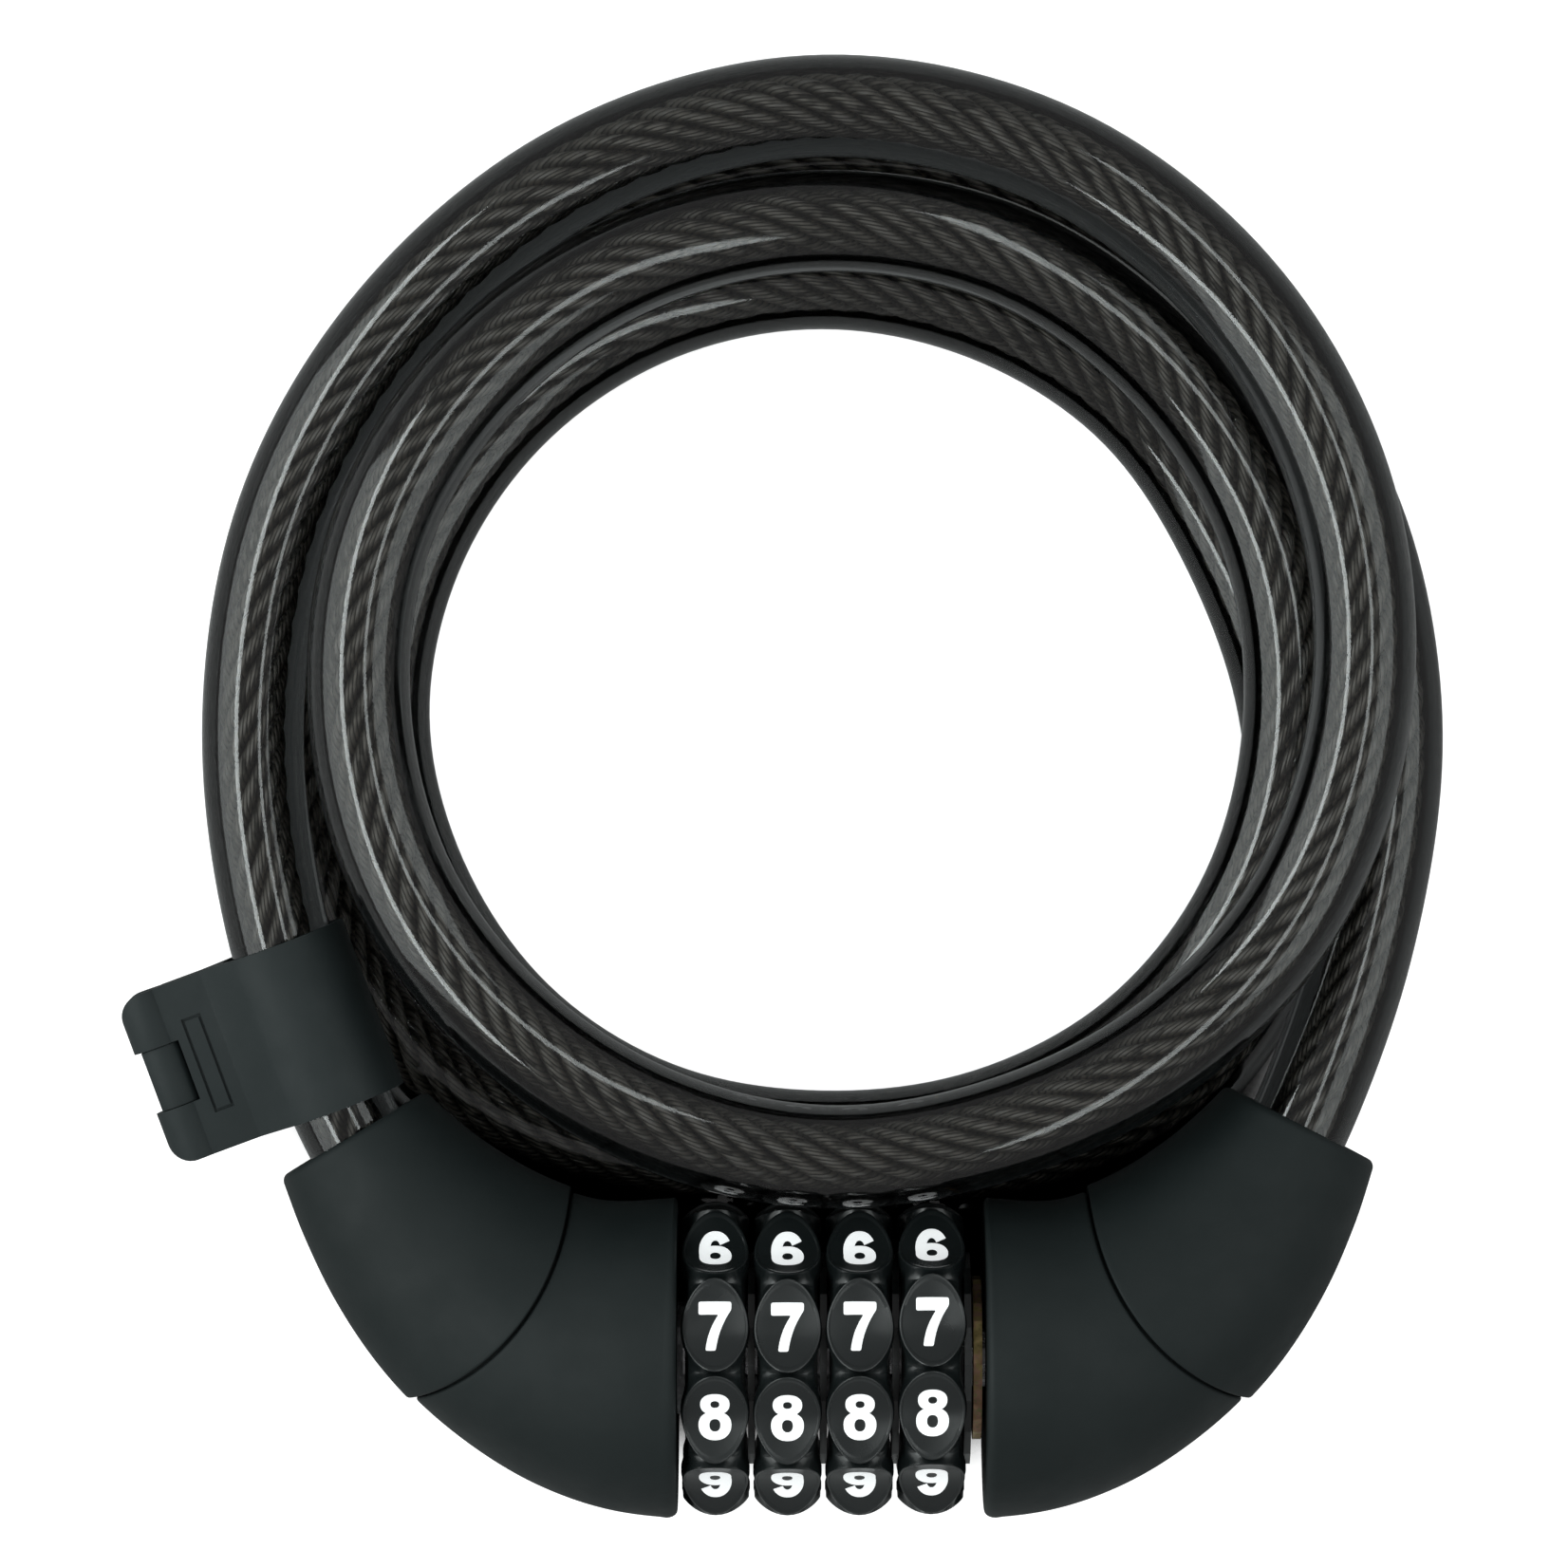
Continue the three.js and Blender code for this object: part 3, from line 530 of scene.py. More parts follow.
def pad_points():
    """One pad as rings of [x, angle, radius] from its middle to its boundary."""
    edge = pad_boundary()
    toward = np.arctan2(edge[:, 1] / DISH_ANGLE, edge[:, 0] / DISH_X)
    rings = []
    for share in DISH_RINGS:
        x, angle = share * DISH_X * np.cos(toward), share * DISH_ANGLE * np.sin(toward)
        rings.append(np.stack([x, angle, dish_radius(x, angle)], axis=1))
    rim = rings[-1]
    for share in SLOPE_RINGS:
        ring = rim + (edge - rim) * share
        ring[:, 2] = rim[:, 2] + (edge[:, 2] - rim[:, 2]) * math.sin(share * math.pi / 2)
        rings.append(ring)
    return np.array(rings)


def dial_body(name, centre_x, turn):
    """A dial without its digits: ten pads over one ring-shaped body."""
    rings = pad_points()
    count, corners, _ = rings.shape
    points, faces = [], []
    for pad in range(PADS):
        base = len(points)
        angle = turn + pad * PAD_STEP
        flat = rings.reshape(-1, 3)
        points += on_dial(centre_x + flat[:, 0], angle + flat[:, 1], flat[:, 2]).tolist()
        middle = on_dial(np.array(centre_x), np.array(angle), dish_radius(0.0, 0.0))
        points.append(middle.tolist())
        faces += [[base + i for i in quad] for quad in ring_faces(count, corners)]
        hub = base + count * corners
        faces += [[hub, base + i, base + (i + 1) % corners] for i in range(corners)]
    angles = np.arange(PADS * PAD_SAMPLES) * PAD_STEP / PAD_SAMPLES - PAD_STEP / 2
    off = (angles + PAD_STEP / 2) % PAD_STEP - PAD_STEP / 2
    width, top = half_width(off), side_radius(off)
    hub_width = np.full_like(off, HUB_HALF_WIDTH)
    section = [(width - inward, top - down) for inward, down in EDGE_ROUND] + [
        (width, top - PAD_SKIRT), (hub_width, np.full_like(off, HUB_R)),
        (hub_width, np.full_like(off, DIAL_BORE_R)),
    ]
    section = [(-w, r) for w, r in section] + [(w, r) for w, r in reversed(section)]
    base = len(points)
    for x, radius in section:
        points += on_dial(centre_x + x, turn + angles, radius).tolist()
    faces += [[base + i for i in quad] for quad in ring_faces(len(section), len(angles))]
    return make_object(name, points, faces, 40.0)


DIGIT_TOP, DIGIT_FOOT = 0.05, -0.08
LONGEST_EDGE = 0.45


def oval(centre, radii, start=0.0, end=360.0, steps=56):
    """Points of a slightly squared oval, between two angles in degrees."""
    angles = np.radians(np.linspace(start, end, steps + 1))
    cosine, sine = np.cos(angles), np.sin(angles)
    squared = np.stack([np.sign(v) * np.abs(v) ** 0.88 for v in (cosine, sine)], axis=1)
    return [tuple(point) for point in np.array(centre) + np.array(radii) * squared]


def band(centre, outer, inner, start=0.0, end=360.0, sink=0.0):
    """A stroke between two ovals, whole or from one angle to another."""
    hole = (centre[0], centre[1] - sink)
    if end - start < 360:
        return prism(oval(centre, outer, start, end) + oval(hole, inner, start, end)[::-1], 0, 1)
    loops = [oval(centre, outer)[:-1], oval(hole, inner)[:-1]]
    points = [(x, y, z) for i, z in ((0, 0), (0, 1), (1, 1), (1, 0)) for x, y in loops[i]]
    return make_object("band", points, ring_faces(4, len(loops[0]), closed=True))


def stroke(*points):
    """A straight-sided stroke with slightly rounded corners."""
    outline = []
    for before, corner, after in zip(points[-1:] + points[:-1], points, points[1:] + points[:1]):
        before, corner, after = (np.array(p, float) for p in (before, corner, after))
        lead, leave = before - corner, after - corner
        cut = min(0.22, 0.45 * np.linalg.norm(lead), 0.45 * np.linalg.norm(leave))
        first = corner + lead / np.linalg.norm(lead) * cut
        last = corner + leave / np.linalg.norm(leave) * cut
        for u in np.linspace(0, 1, 4):
            at = (1 - u) ** 2 * first + 2 * u * (1 - u) * corner + u * u * last
            outline.append(tuple(at))
    return prism(outline, 0, 1)


def curved(start, control, end, steps=10):
    """Points of a quadratic curve."""
    a, b, c = (np.array(p, float) for p in (start, control, end))
    shares = np.linspace(0, 1, steps)
    return [tuple((1 - u) ** 2 * a + 2 * u * (1 - u) * b + u * u * c) for u in shares]


# Each digit in a box 3.8 wide and 5.6 high about its middle, as strokes to be joined.
DIGIT_STROKES = {
    "0": lambda: [band((0, 0), (1.9, 2.8), (0.62, 1.65))],
    "1": lambda: [stroke(
        (1.15, -2.8), (1.15, 2.8), (0.15, 2.8), (-0.35, 2.1), (-1.3, 1.85), (-1.3, 0.95),
        (-0.15, 0.95), (-0.15, -2.8),
    )],
    "2": lambda: [
        band((0, 1.05), (1.88, 1.75), (0.62, 0.62), -38, 178),
        stroke((1.55, 0.0), (0.35, 0.75), (-1.9, -1.5), (-1.9, -2.8), (0.1, -1.55)),
        stroke((-1.9, -2.8), (1.9, -2.8), (1.9, -1.55), (-1.9, -1.55)),
    ],
    "3": lambda: [
        band((-0.05, 1.32), (1.75, 1.48), (0.55, 0.45), -90, 172),
        band((0, -1.15), (1.9, 1.65), (0.62, 0.6), -172, 90),
        stroke((-0.55, -0.35), (0.7, -0.35), (0.7, 0.75), (-0.55, 0.75)),
    ],
    "4": lambda: [
        stroke((0.05, -2.8), (1.3, -2.8), (1.3, 2.8), (0.05, 2.8)),
        stroke((-1.95, -1.65), (1.95, -1.65), (1.95, -0.55), (-1.95, -0.55)),
        stroke((-1.95, -0.9), (-0.75, -0.9), (0.8, 1.6), (0.8, 2.8), (0.05, 2.8)),
    ],
    "5": lambda: [
        stroke((-1.5, 1.65), (-1.5, 2.8), (1.6, 2.8), (1.6, 1.65)),
        stroke((-1.5, 2.8), (-0.4, 2.8), (-0.6, 0.3), (-1.8, 0.0)),
        band((-0.05, -0.95), (1.95, 1.85), (0.65, 0.72), -172, 148),
    ],
    "6": lambda: [
        band((0.02, -1.02), (1.88, 1.78), (0.62, 0.66)),
        band((0, 0), (1.9, 2.8), (0.62, 1.6), 32, 200),
    ],
    "7": lambda: [stroke(
        (-1.9, 2.8), (1.9, 2.8), *curved((1.9, 2.0), (0.45, 0.0), (0.1, -2.8)),
        *curved((-1.08, -2.8), (-0.85, -0.4), (0.42, 1.42)), (-1.9, 1.42),
    )],
    "8": lambda: [
        band((0, 1.45), (1.7, 1.35), (0.52, 0.45)),
        band((0, -1.15), (1.9, 1.65), (0.64, 0.74)),
        stroke((-0.7, -0.42), (0.7, -0.42), (0.7, 1.0), (-0.7, 1.0)),
    ],
}


def flat_digit(digit):
    """One digit as a closed mesh: the outline of its joined strokes, at heights 0 and 1."""
    turned = digit == 9
    parts = DIGIT_STROKES["6" if turned else str(digit)]()
    for part in parts[1:]:
        combine(parts[0], part, "UNION")
    bm = bmesh.new()
    bm.from_mesh(parts[0].data)
    bpy.data.objects.remove(parts[0])
    bm.normal_update()
    bmesh.ops.delete(bm, geom=[face for face in bm.faces if face.normal.z < 0.5], context="FACES")
    for vertex in bm.verts:
        x, y, _ = vertex.co / MM
        vertex.co = (-x, -y, 0) if turned else (x, y, 0)
    bmesh.ops.remove_doubles(bm, verts=bm.verts, dist=0.01)
    bmesh.ops.dissolve_degenerate(bm, edges=bm.edges, dist=0.01)
    for _ in range(4):
        bmesh.ops.triangulate(bm, faces=bm.faces)
        long_edges = [edge for edge in bm.edges if edge.calc_length() > LONGEST_EDGE]
        bmesh.ops.subdivide_edges(bm, edges=long_edges, cuts=1)
    bmesh.ops.triangulate(bm, faces=bm.faces)
    raised = bmesh.ops.extrude_face_region(bm, geom=bm.faces, use_keep_orig=True)
    for element in raised["geom"]:
        if isinstance(element, bmesh.types.BMVert):
            element.co.z = 1
    mesh = bpy.data.meshes.new(f"digit_{digit}")
    bm.to_mesh(mesh)
    bm.free()
    return mesh


def make_digit(flat, centre_x, angle):
    """A digit moulded into its pad: a thin closed body that follows the dish."""
    mesh = flat.copy()
    for vertex in mesh.vertices:
        x, y, layer = vertex.co
        off = y / DIGIT_R
        radius = float(dish_radius(x, off)) + (DIGIT_TOP if layer > 0.5 else DIGIT_FOOT)
        vertex.co = on_dial(np.array(centre_x + x), np.array(angle + off), radius) * MM
    return finish_object("digit", mesh, 50.0)


# ---------------------------------------------------------------- carrying clip
HALF_GAP = 0.15
TAB_HALF_THICKNESS = 2.6
TAB_END = HINGE_OFFSET - KNUCKLE_R + 0.6
SHOULDER_ANGLE = 52.0
FOOT_OF_SLOPE = 9.6
LOBE_LENGTH = 6.6
HINGE_PIN_R = 1.2
LABEL_X, LABEL_Z = (11.2, 13.6), (-5.8, 5.8)
LABEL_LINE = 0.35
CLIP_BEVEL = 0.3
JOINT = 0.08  # between neighbouring knuckles
LOBE_ROUND = 3.0  # outer corners of the lobes, seen from above
TONGUE_BACK = 0.9  # how far the middle knuckle stands back from the lobes


def clip_matrix():
    """The clip's own directions: out from the cable to the hinge, up, and along the cable."""
    mouth = CABLE_IN_MOUTH + ROPE_EXTRA
    shares = (-0.4 * CLIP_LENGTH, 0.0, 0.4 * CLIP_LENGTH)
    fine = respaced(ROUTE, 0.1)
    first, middle, last = (fine[int(round((mouth + CLIP_FROM_MOUTH + s) * 10))] for s in shares)
    centre = ((first + last) / 2 + middle) / 2
    along = (last - first) / np.linalg.norm(last - first)
    out = np.cross([0, 0, 1], along)
    out /= np.linalg.norm(out)
    matrix = Matrix.Identity(4)
    for column, direction in enumerate((out, np.cross(along, out), along, centre * MM)):
        for row in range(3):
            matrix[row][column] = direction[row]
    return matrix


def arc(radius, start, end, steps, centre_x=0.0):
    angles = np.linspace(start, end, steps)
    return [(centre_x + radius * math.cos(a), radius * math.sin(a)) for a in angles]


def jaw_outline(sign):
    shoulder = math.radians(SHOULDER_ANGLE)
    opening = math.asin(HALF_GAP / CLIP_BORE_R)
    outline = [(-CLIP_R, HALF_GAP), *arc(CLIP_R, math.pi - 0.02, shoulder, 44)]
    start, control = np.array(outline[-1]), np.array([CLIP_R * 0.95, TAB_HALF_THICKNESS + 1.2])
    foot = np.array([FOOT_OF_SLOPE, TAB_HALF_THICKNESS])
    for u in np.linspace(0, 1, 14)[1:]:
        outline.append(tuple((1 - u) ** 2 * start + 2 * u * (1 - u) * control + u * u * foot))
    outline += [(TAB_END, TAB_HALF_THICKNESS), (TAB_END, HALF_GAP)]
    outline += arc(CLIP_BORE_R, opening, math.pi - opening, 48)
    return [(x, sign * y) for x, y in outline]


def prism(outline, low, high):
    points = [(x, y, z) for z in (low, high) for x, y in outline]
    return make_object("prism", points, ring_faces(2, len(outline)) + cap_faces(2, len(outline)))


def block(x, y, z):
    return prism([(x[0], y[0]), (x[1], y[0]), (x[1], y[1]), (x[0], y[1])], *z)


def knuckle(radius, z):
    return prism(arc(radius, 0, 2 * math.pi, 49, HINGE_OFFSET)[:-1], *z)


def plan_prism(outline):
    """A body as tall as the clip over an outline of [x, z] points."""
    points = [(x, y, z) for y in (-12, 12) for x, z in outline]
    return make_object("prism", points, ring_faces(2, len(outline)) + cap_faces(2, len(outline)))


def plan_outline(reach, end, corner):
    """The clip seen from above, out to its hinge side, with round outer corners."""
    rounded = [(reach - corner + corner * math.sin(a), end - corner + corner * math.cos(a))
               for a in np.linspace(0, math.pi / 2, 10)]
    mirrored = [(x, -z) for x, z in reversed(rounded)]
    return [(-12, end), *rounded, *mirrored, (-12, -end)]


def with_modifiers(piece):
    graph = bpy.context.evaluated_depsgraph_get()
    mesh = bpy.data.meshes.new_from_object(piece.evaluated_get(graph))
    piece.modifiers.clear()
    piece.data = mesh
    return piece


def combine(piece, tool, operation):
    modifier = piece.modifiers.new("combine", "BOOLEAN")
    modifier.operation = operation
    modifier.solver = "EXACT"
    modifier.object = tool
    with_modifiers(piece)
    bpy.data.objects.remove(tool)


def round_edges(piece, width):
    modifier = piece.modifiers.new("round", "BEVEL")
    modifier.width = width * MM
    modifier.segments = 3
    modifier.limit_method = "ANGLE"
    modifier.angle_limit = math.radians(28)
    with_modifiers(piece)


def make_jaw(name, sign):
    """The upper jaw (sign 1), which has the outer knuckles and the label frame, or the lower."""
    end = CLIP_LENGTH / 2
    inner = end - LOBE_LENGTH
    outer_ranges = [(-end, -inner), (inner, end)]
    jaw = prism(jaw_outline(sign), -end, end)
    if sign > 0:
        wells, solid_ranges, radius = [(-inner - JOINT, inner + JOINT)], outer_ranges, KNUCKLE_R
    else:
        wells = [(-end - 1, -inner + JOINT), (inner - JOINT, end + 1)]
        solid_ranges, radius = [(-inner + JOINT, inner - JOINT)], KNUCKLE_R - 0.3
    for z in wells:
        combine(jaw, knuckle(KNUCKLE_R + GAP, z), "DIFFERENCE")
    height = sorted((sign * HALF_GAP, sign * TAB_HALF_THICKNESS))
    for z in solid_ranges:
        lobe = knuckle(radius, z)
        combine(lobe, block((TAB_END - 1, HINGE_OFFSET), height, z), "UNION")
        combine(jaw, lobe, "UNION")
    combine(jaw, knuckle(HINGE_PIN_R + 0.1, (-end - 1, end + 1)), "DIFFERENCE")
    reach, corner = (KNUCKLE_R, LOBE_ROUND) if sign > 0 else (KNUCKLE_R - TONGUE_BACK, 0.5)
    combine(jaw, plan_prism(plan_outline(HINGE_OFFSET + reach, end + 0.01, corner)), "INTERSECT")
    round_edges(jaw, CLIP_BEVEL)
    if sign > 0:
        for x, z in label_lines():
            groove = block(x, (TAB_HALF_THICKNESS - LABEL_LINE, TAB_HALF_THICKNESS + 1), z)
            combine(jaw, groove, "DIFFERENCE")
    mesh = jaw.data
    bpy.data.objects.remove(jaw)
    mesh.transform(clip_matrix())
    return finish_object(name, mesh, 32.0)


def label_lines():
    """The four grooves of the blank label frame on the tab, as x and z ranges."""
    (x0, x1), (z0, z1) = LABEL_X, LABEL_Z
    line = LABEL_LINE
    return [
        ((x0, x0 + line), (z0, z1)), ((x1 - line, x1), (z0, z1)),
        ((x0, x1), (z0, z0 + line)), ((x0, x1), (z1 - line, z1)),
    ]


upper_jaw = make_jaw("clip_upper_jaw_skin", 1)
lower_jaw = make_jaw("clip_lower_jaw_skin", -1)


# ---------------------------------------------------------------- materials
def new_material(name, **values):
    """A Principled material; values are its sockets, with _ for a space."""
    material = bpy.data.materials.new(name)
    material.use_nodes = True
    shader = material.node_tree.nodes["Principled BSDF"]
    for key, value in values.items():
        socket = shader.inputs[key.replace("_", " ")]
        socket.default_value = (*value, 1.0) if isinstance(value, tuple) else value
    return material, material.node_tree, shader


def add_node(tree, kind, inputs=(), **settings):
    """A node with its settings; inputs are (socket, value or another node's output)."""
    node = tree.nodes.new(kind)
    for key, value in settings.items():
        setattr(node, key, value)
    for socket, value in inputs:
        if isinstance(value, bpy.types.NodeSocket):
            tree.links.new(value, node.inputs[socket])
        else:
            node.inputs[socket].default_value = value
    return node


def coordinates(tree):
    return add_node(tree, "ShaderNodeTexCoord").outputs["Object"]


def noise(tree, vector, scale, detail=3.0, roughness=0.55):
    inputs = [("Vector", vector), ("Scale", scale), ("Detail", detail), ("Roughness", roughness)]
    return add_node(tree, "ShaderNodeTexNoise", inputs).outputs["Fac"]


def spread(tree, value, low, high, from_low=0.35, from_high=0.65):
    inputs = [
        ("Value", value), ("From Min", from_low), ("From Max", from_high), ("To Min", low),
        ("To Max", high),
    ]
    return add_node(tree, "ShaderNodeMapRange", inputs).outputs["Result"]


def ramp(tree, value, *stops):
    """Colour by value: stops are (position, colour)."""
    node = add_node(tree, "ShaderNodeValToRGB", [("Fac", value)])
    elements = node.color_ramp.elements
    while len(elements) < len(stops):
        elements.new(0.5)
    for element, (position, colour) in zip(elements, stops):
        element.position = position
        element.color = (*colour, 1.0)
    return node.outputs["Color"]


def bump(tree, shader, height, strength, distance_mm):
    inputs = [("Height", height), ("Strength", strength), ("Distance", distance_mm * MM)]
    node = add_node(tree, "ShaderNodeBump", inputs)
    tree.links.new(node.outputs["Normal"], shader.inputs["Normal"])


def moulded_plastic(name, dark, light, rough, grain_scale, grain_mm, ior=1.5):
    """Moulded black plastic: uneven sheen over a fine grain."""
    material, tree, shader = new_material(name, IOR=ior)
    at = coordinates(tree)
    broad = noise(tree, at, 55.0)
    fine = noise(tree, at, grain_scale, 4.0, 0.6)
    tree.links.new(ramp(tree, broad, (0.35, dark), (0.7, light)), shader.inputs["Base Color"])
    rough_at = spread(tree, noise(tree, at, 140.0), rough[0], rough[1])
    tree.links.new(rough_at, shader.inputs["Roughness"])
    bump(tree, shader, fine, 0.5, grain_mm)
    return material


def metal(name, dark, light, rough, scale, grain_mm, stretch=(1, 1, 1)):
    """Plain or plated metal: blotchy colour, uneven roughness and a light surface grain."""
    material, tree, shader = new_material(name, Metallic=1.0)
    inputs = [("Vector", coordinates(tree)), ("Scale", stretch)]
    at = add_node(tree, "ShaderNodeMapping", inputs).outputs["Vector"]
    tree.links.new(
        ramp(tree, noise(tree, at, scale), (0.35, dark), (0.65, light)), shader.inputs["Base Color"]
    )
    rough_at = spread(tree, noise(tree, at, scale * 2.5), rough[0], rough[1])
    tree.links.new(rough_at, shader.inputs["Roughness"])
    bump(tree, shader, noise(tree, at, scale * 8), 0.4, grain_mm)
    return material


def yellow_zinc():
    """Yellow passivated zinc, mottled with pink and green."""
    material, tree, shader = new_material("yellow_zinc", Metallic=0.9)
    at = coordinates(tree)
    colours = ramp(
        tree, noise(tree, at, 420.0, 4.0, 0.7),
        (0.3, (0.16, 0.13, 0.05)), (0.45, (0.42, 0.33, 0.14)), (0.55, (0.42, 0.24, 0.18)),
        (0.62, (0.25, 0.28, 0.12)), (0.75, (0.6, 0.5, 0.28)),
    )
    tree.links.new(colours, shader.inputs["Base Color"])
    tree.links.new(spread(tree, noise(tree, at, 900.0), 0.3, 0.55), shader.inputs["Roughness"])
    bump(tree, shader, noise(tree, at, 1500.0), 0.4, 0.05)
    return material


def math_node(tree, operation, first, second=None):
    inputs = [(0, first)] if second is None else [(0, first), (1, second)]
    return add_node(tree, "ShaderNodeMath", inputs, operation=operation).outputs["Value"]


WIRES_ROUND = 38
# painted glints: the rope's colour brightens in short dashes along each wire, about this many per
# metre
GLINTS_PER_METRE = 240.0


def wire_rope():
    """Bright strands made of fine wires, which lie along the rope's own line; painted shade darkens
    the valleys and each wire's sides, painted glints brighten short dashes.
    """
    material, tree, shader = new_material("wire_rope", Metallic=1.0)
    place = add_node(tree, "ShaderNodeUVMap", uv_map="wires").outputs["UV"]
    parts = add_node(tree, "ShaderNodeSeparateXYZ", [("Vector", place)])
    strand = add_node(tree, "ShaderNodeAttribute", attribute_name="strand").outputs["Fac"]

    lay_turns = math_node(tree, "MULTIPLY", parts.outputs["X"], 1 / (LAY_LENGTH * MM))
    own_turn = math_node(tree, "SUBTRACT", parts.outputs["Y"], lay_turns)
    across = math_node(tree, "FRACT", math_node(tree, "MULTIPLY", own_turn, float(STRANDS)))
    off_middle = math_node(tree, "ABSOLUTE", math_node(tree, "SUBTRACT", across, 0.5))
    # painted shade: the colour darkens in the valleys between strands
    painted_valley_shade = spread(tree, off_middle, 1.0, 0.25, 0.22, 0.5)

    round_it = math_node(tree, "MULTIPLY", parts.outputs["Y"], float(WIRES_ROUND))
    wire = math_node(tree, "ADD", round_it, math_node(tree, "MULTIPLY", strand, 0.37))
    share = math_node(tree, "FRACT", wire)
    centred = math_node(tree, "SUBTRACT", math_node(tree, "MULTIPLY", share, 2.0), 1.0)
    height = math_node(tree, "SQRT", math_node(tree, "SUBTRACT", 1.0, math_node(
        tree, "MULTIPLY", centred, centred)))
    number = math_node(tree, "FLOOR", wire)
    along = math_node(tree, "MULTIPLY", parts.outputs["X"], GLINTS_PER_METRE)
    cell = add_node(tree, "ShaderNodeCombineXYZ", [
        ("X", along), ("Y", math_node(tree, "MULTIPLY", number, 3.7)), ("Z", strand),
    ])
    tone = spread(tree, noise(tree, cell.outputs["Vector"], 1.0, 2.0), 0.0, 1.0, 0.36, 0.64)
    # painted glints and shade: bright dashes, dark valleys and the dark sides of each round wire
    # all go into the colour
    painted_glints_and_shade = math_node(tree, "MULTIPLY", tone, math_node(tree, "MULTIPLY", painted_valley_shade, height))
    colours = ramp(
        tree, painted_glints_and_shade, (0.0, (0.16, 0.15, 0.13)), (0.4, (0.72, 0.66, 0.58)), (0.8, (1.0, 0.95, 0.87))
    )
    tree.links.new(colours, shader.inputs["Base Color"])
    tree.links.new(spread(tree, tone, 0.42, 0.28, 0.0, 1.0), shader.inputs["Roughness"])
    bump(tree, shader, height, 0.8, 0.12)
    return material


VINYL_DENSITY = 290.0
VINYL_TINT = (0.06, 0.075, 0.08)


def smoked_vinyl():
    """Clear vinyl with a smoky tint all through it; lamps shine through to what is inside."""
    material, tree, shader = new_material(
        "smoked_vinyl", Base_Color=(1.0, 1.0, 1.0), Roughness=0.07, IOR=1.53,
        Transmission_Weight=1.0,
    )
    at = coordinates(tree)
    bump(tree, shader, noise(tree, at, 30.0, 1.0), 0.02, 0.3)
    clear = add_node(tree, "ShaderNodeBsdfTransparent")
    to_lamp = add_node(tree, "ShaderNodeLightPath").outputs["Is Shadow Ray"]
    both = add_node(tree, "ShaderNodeMixShader", [
        (0, to_lamp), (1, shader.outputs["BSDF"]), (2, clear.outputs["BSDF"]),
    ])
    out = tree.nodes["Material Output"]
    tree.links.new(both.outputs["Shader"], out.inputs["Surface"])
    tint = add_node(tree, "ShaderNodeVolumeAbsorption", [
        ("Color", (*VINYL_TINT, 1.0)), ("Density", VINYL_DENSITY),
    ])
    tree.links.new(tint.outputs["Volume"], out.inputs["Volume"])
    return material


def glowing_digit_paint():
    """White paint with a painted glow: a faint emission of its own, to be as white as in daylight.
    """
    # painted light: the digits glow faintly though they are no lamp
    material, tree, shader = new_material(
        "glowing_digit_paint", Roughness=0.45, Emission_Color=(1.0, 1.0, 1.0), Emission_Strength=0.28
    )
    tone = noise(tree, coordinates(tree), 900.0)
    colours = ramp(tree, tone, (0.3, (0.88, 0.90, 0.91)), (0.7, (0.94, 0.95, 0.96)))
    tree.links.new(colours, shader.inputs["Base Color"])
    return material


MATERIALS = {
    "cover_plastic": moulded_plastic(
        "cover_plastic", (0.0052, 0.0088, 0.0090), (0.0085, 0.0125, 0.0128), (0.60, 0.70), 2600.0,
        0.03, 1.33,
    ),
    "dial_plastic": moulded_plastic(
        "dial_plastic", (0.0055, 0.0075, 0.0078), (0.0085, 0.0110, 0.0113), (0.26, 0.36), 1800.0,
        0.015,
    ),
    "clip_plastic": moulded_plastic(
        "clip_plastic", (0.0080, 0.0125, 0.0130), (0.0125, 0.0175, 0.0182), (0.60, 0.70), 1500.0,
        0.05, 1.37,
    ),
    "smoked_vinyl": smoked_vinyl(),
    "wire_rope": wire_rope(),
    "die_cast": metal(
        "die_cast", (0.30, 0.31, 0.32), (0.46, 0.47, 0.48), (0.40, 0.60), 350.0, 0.06
    ),
    "plain_steel": metal(
        "plain_steel", (0.40, 0.40, 0.41), (0.60, 0.60, 0.61), (0.22, 0.40), 300.0, 0.02, (1, 1, 6)
    ),
    "yellow_zinc": yellow_zinc(),
}


# ---------------------------------------------------------------- what rides on what
def dress(piece, slot, body, *nodes):
    """A piece's finish, the body it rides on and the frame's nodes it stands for."""
    if not piece.data.materials:
        piece.data.materials.append(MATERIALS[slot])
    if body:
        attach(piece, body)
    if nodes:
        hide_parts(*nodes)


# the digits' white paint carries a painted glow
GLOWING_DIGIT_PAINT = glowing_digit_paint()
flat_digits = [flat_digit(digit) for digit in range(PADS)]

for number, (centre_x, own_turn) in enumerate(zip(DIAL_X, DIAL_TURNS), start=1):
    shown_at = math.radians(SHOWN_DIGIT_ANGLE + own_turn)
    body = dial_body(f"dial_{number}_skin", centre_x, shown_at)
    body.data.materials.append(MATERIALS["dial_plastic"])
    parts = [body]
    for digit in range(PADS):
        angle = shown_at - PAD_STEP * (digit - SHOWN_DIGIT)
        part = make_digit(flat_digits[digit], centre_x, angle)
        part.data.materials.clear()
        part.data.materials.append(GLOWING_DIGIT_PAINT)
        parts.append(part)
    dial = joined(f"dial_{number}_skin", parts)
    dress(dial, "dial_plastic", f"dial_{number}_body", f"dial_{number}")

for node, piece in covers.items():
    dress(piece, "cover_plastic", "lock_body" if node.startswith("left") else "pin_half", node)
dress(lower_jaw, "clip_plastic", "lock_body", "clip_lower_jaw")
dress(upper_jaw, "clip_plastic", "clip_jaw", "clip_upper_jaw")
dress(jacket, "smoked_vinyl", None, "cable_jacket")
dress(rope, "wire_rope", None, "cable_core")

for piece in (jacket, rope):
    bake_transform(piece)

slot_of = {part["node"]: part["material_slot"] for part in frame["record"]["subparts"]}
for node, piece in frame["nodes"].items():
    piece.data.materials.clear()
    piece.data.materials.append(MATERIALS[slot_of[node]])


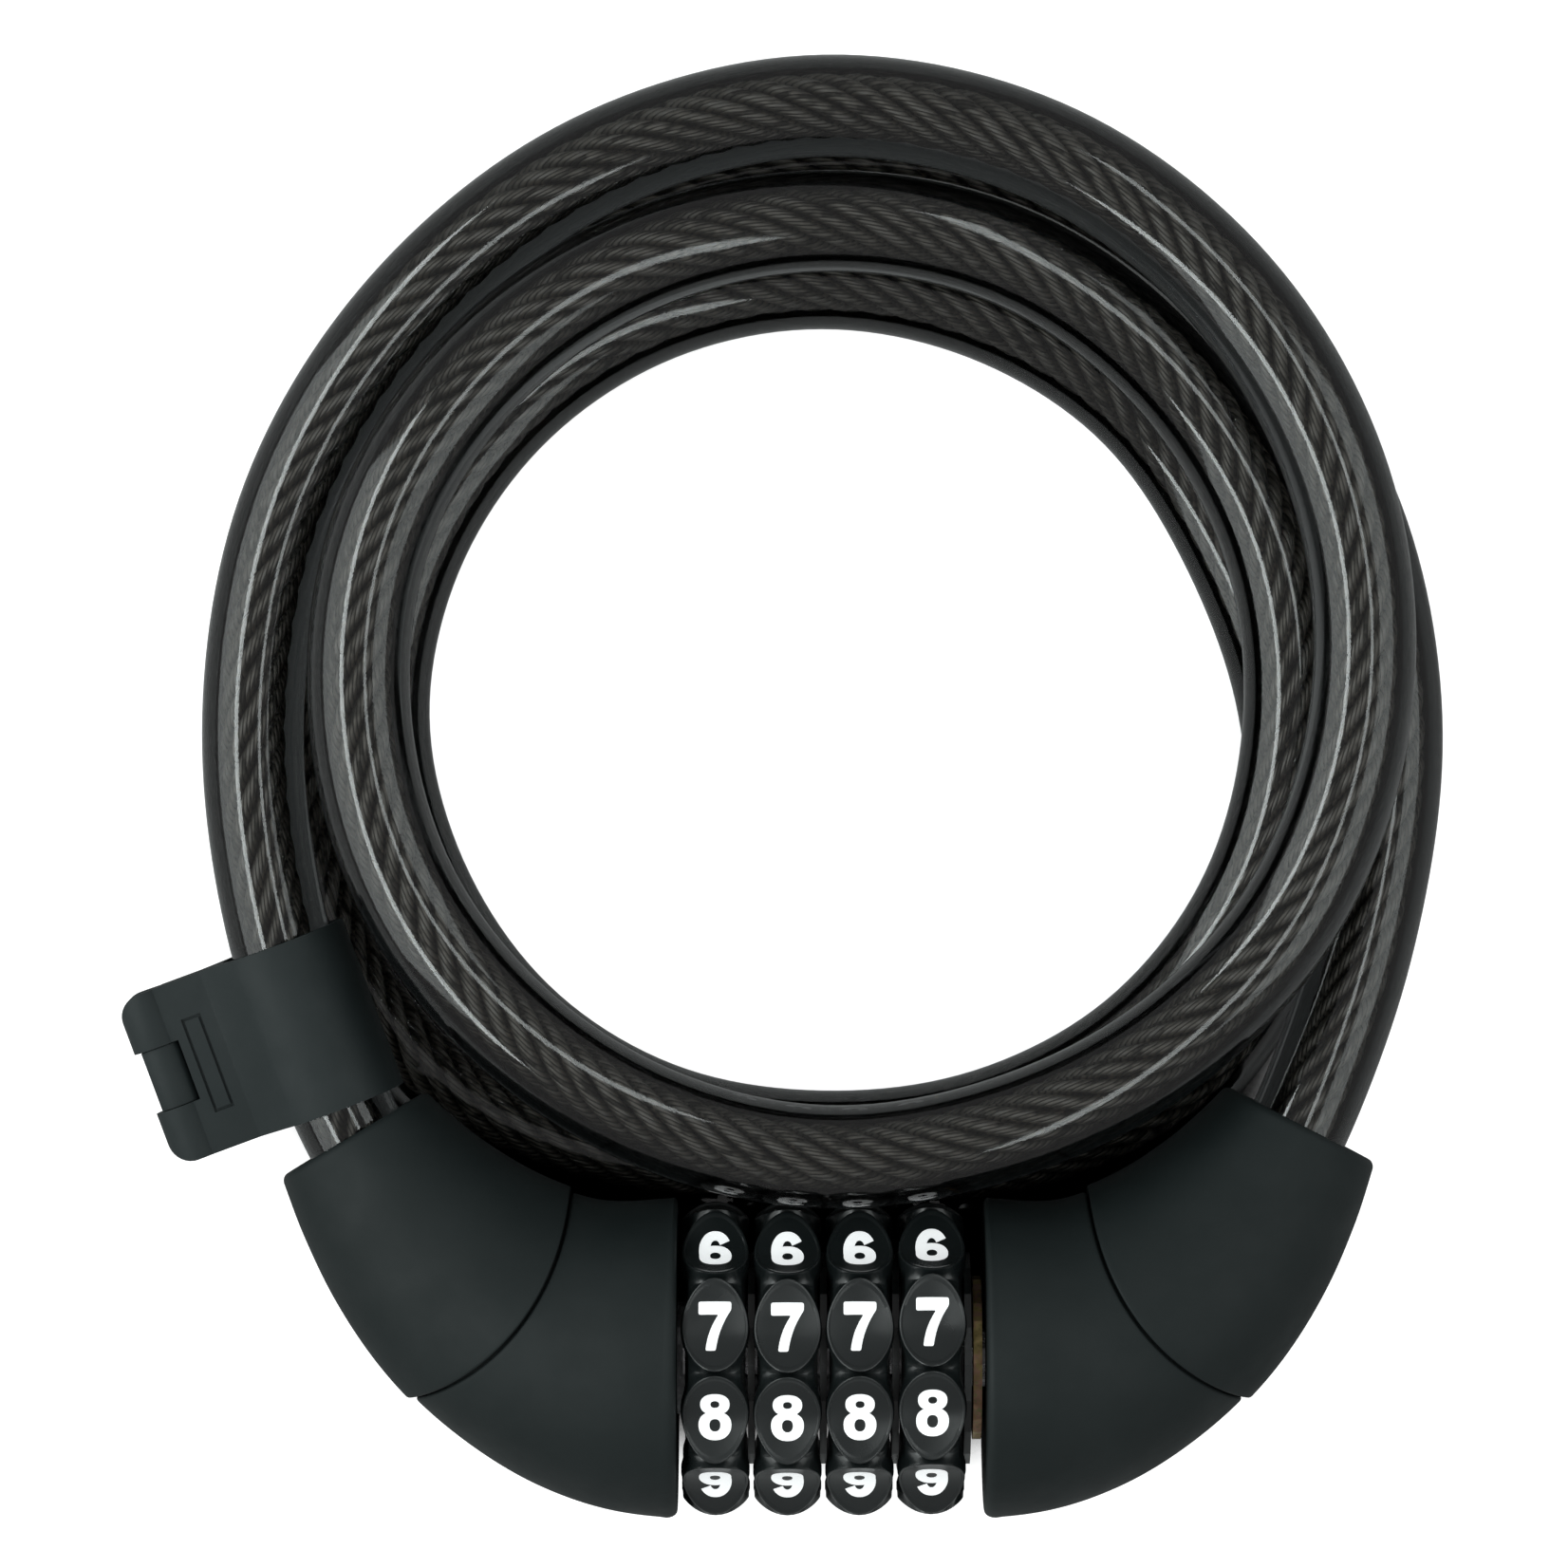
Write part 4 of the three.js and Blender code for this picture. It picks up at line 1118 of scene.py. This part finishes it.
# ---------------------------------------------------------------- studio
FLOOR_SEEN = 1.0  # the table is white in the picture, as for a cut-out
FLOOR_GLOW = 0.02  # and gives almost no light of its own
SHADE_REACH = 0.03  # metres
SHADED = (0.17, 0.5)  # how open to the sky the floor is where it is black, and where white
ROOM_LIGHT = 0.34
LAMP_COLOUR = (0.93, 1.0, 0.99)


def make_floor():
    """A white table with painted shade: its colour and glow go black only where the object all but
    covers it.
    """
    mesh = bpy.data.meshes.new("floor")
    reach = 2.5
    mesh.from_pydata(
        [(-reach, -reach, 0), (reach, -reach, 0), (reach, reach, 0), (-reach, reach, 0)], [],
        [(0, 1, 2, 3)],
    )
    floor = bpy.data.objects.new("floor", mesh)
    scene.collection.objects.link(floor)
    material, tree, shader = new_material(
        "floor", Base_Color=(0.9, 0.9, 0.9), Roughness=0.9, Emission_Color=(1.0, 1.0, 1.0),
    )
    shader.inputs["Specular IOR Level"].default_value = 0.0
    seen = add_node(tree, "ShaderNodeLightPath").outputs["Is Camera Ray"]
    glow = spread(tree, seen, FLOOR_GLOW, FLOOR_SEEN, 0.0, 1.0)
    shade = add_node(tree, "ShaderNodeAmbientOcclusion", [("Distance", SHADE_REACH)], samples=32)
    # painted shade: where the parts all but close over the floor, its colour and glow fade to black
    open_floor = add_node(tree, "ShaderNodeMapRange", [
        ("Value", shade.outputs["AO"]), ("From Min", SHADED[0]), ("From Max", SHADED[1]),
    ], interpolation_type="SMOOTHSTEP").outputs["Result"]
    strength = math_node(tree, "MULTIPLY", glow, open_floor)
    tree.links.new(strength, shader.inputs["Emission Strength"])
    tree.links.new(
        ramp(tree, open_floor, (0.0, (0.0, 0.0, 0.0)), (1.0, (0.4, 0.4, 0.4))),
        shader.inputs["Base Color"],
    )
    mesh.materials.append(material)


def make_lamp(name, lean, distance, width, length, radiance):
    """A strip lamp long in Y, leaning that many degrees from overhead towards +X."""
    lean = math.radians(lean)
    data = bpy.data.lights.new(name, "AREA")
    data.shape = "RECTANGLE"
    data.size, data.size_y = width, length
    data.energy = radiance * math.pi * width * length
    data.color = LAMP_COLOUR
    lamp = bpy.data.objects.new(name, data)
    target = Vector((0, VIEW_CENTRE[1] * MM, AXIS_Z * MM))
    toward = Vector((math.sin(lean), 0, math.cos(lean)))
    lamp.location = target + toward * distance
    lamp.rotation_euler = (0, lean, 0)
    lamp.visible_transmission = False
    scene.collection.objects.link(lamp)


make_floor()
make_lamp("lamp_left_line", -37.0, 1.3, 0.20, 1.8, 7.0)
make_lamp("lamp_left_haze", -60.0, 1.3, 1.10, 1.8, 1.7)
make_lamp("lamp_right_line", 15.0, 1.6, 0.18, 2.2, 4.0)
make_lamp("lamp_right_haze", 48.0, 1.6, 0.90, 1.8, 1.5)

world = bpy.data.worlds.new("studio")
world.use_nodes = True
background = world.node_tree.nodes["Background"]
background.inputs["Color"].default_value = (1.0, 1.0, 1.0, 1.0)
seen = add_node(world.node_tree, "ShaderNodeLightPath").outputs["Is Camera Ray"]
strength = math_node(world.node_tree, "MAXIMUM", seen, ROOM_LIGHT)
world.node_tree.links.new(strength, background.inputs["Strength"])
scene.world = world
scene.view_settings.view_transform = "Standard"
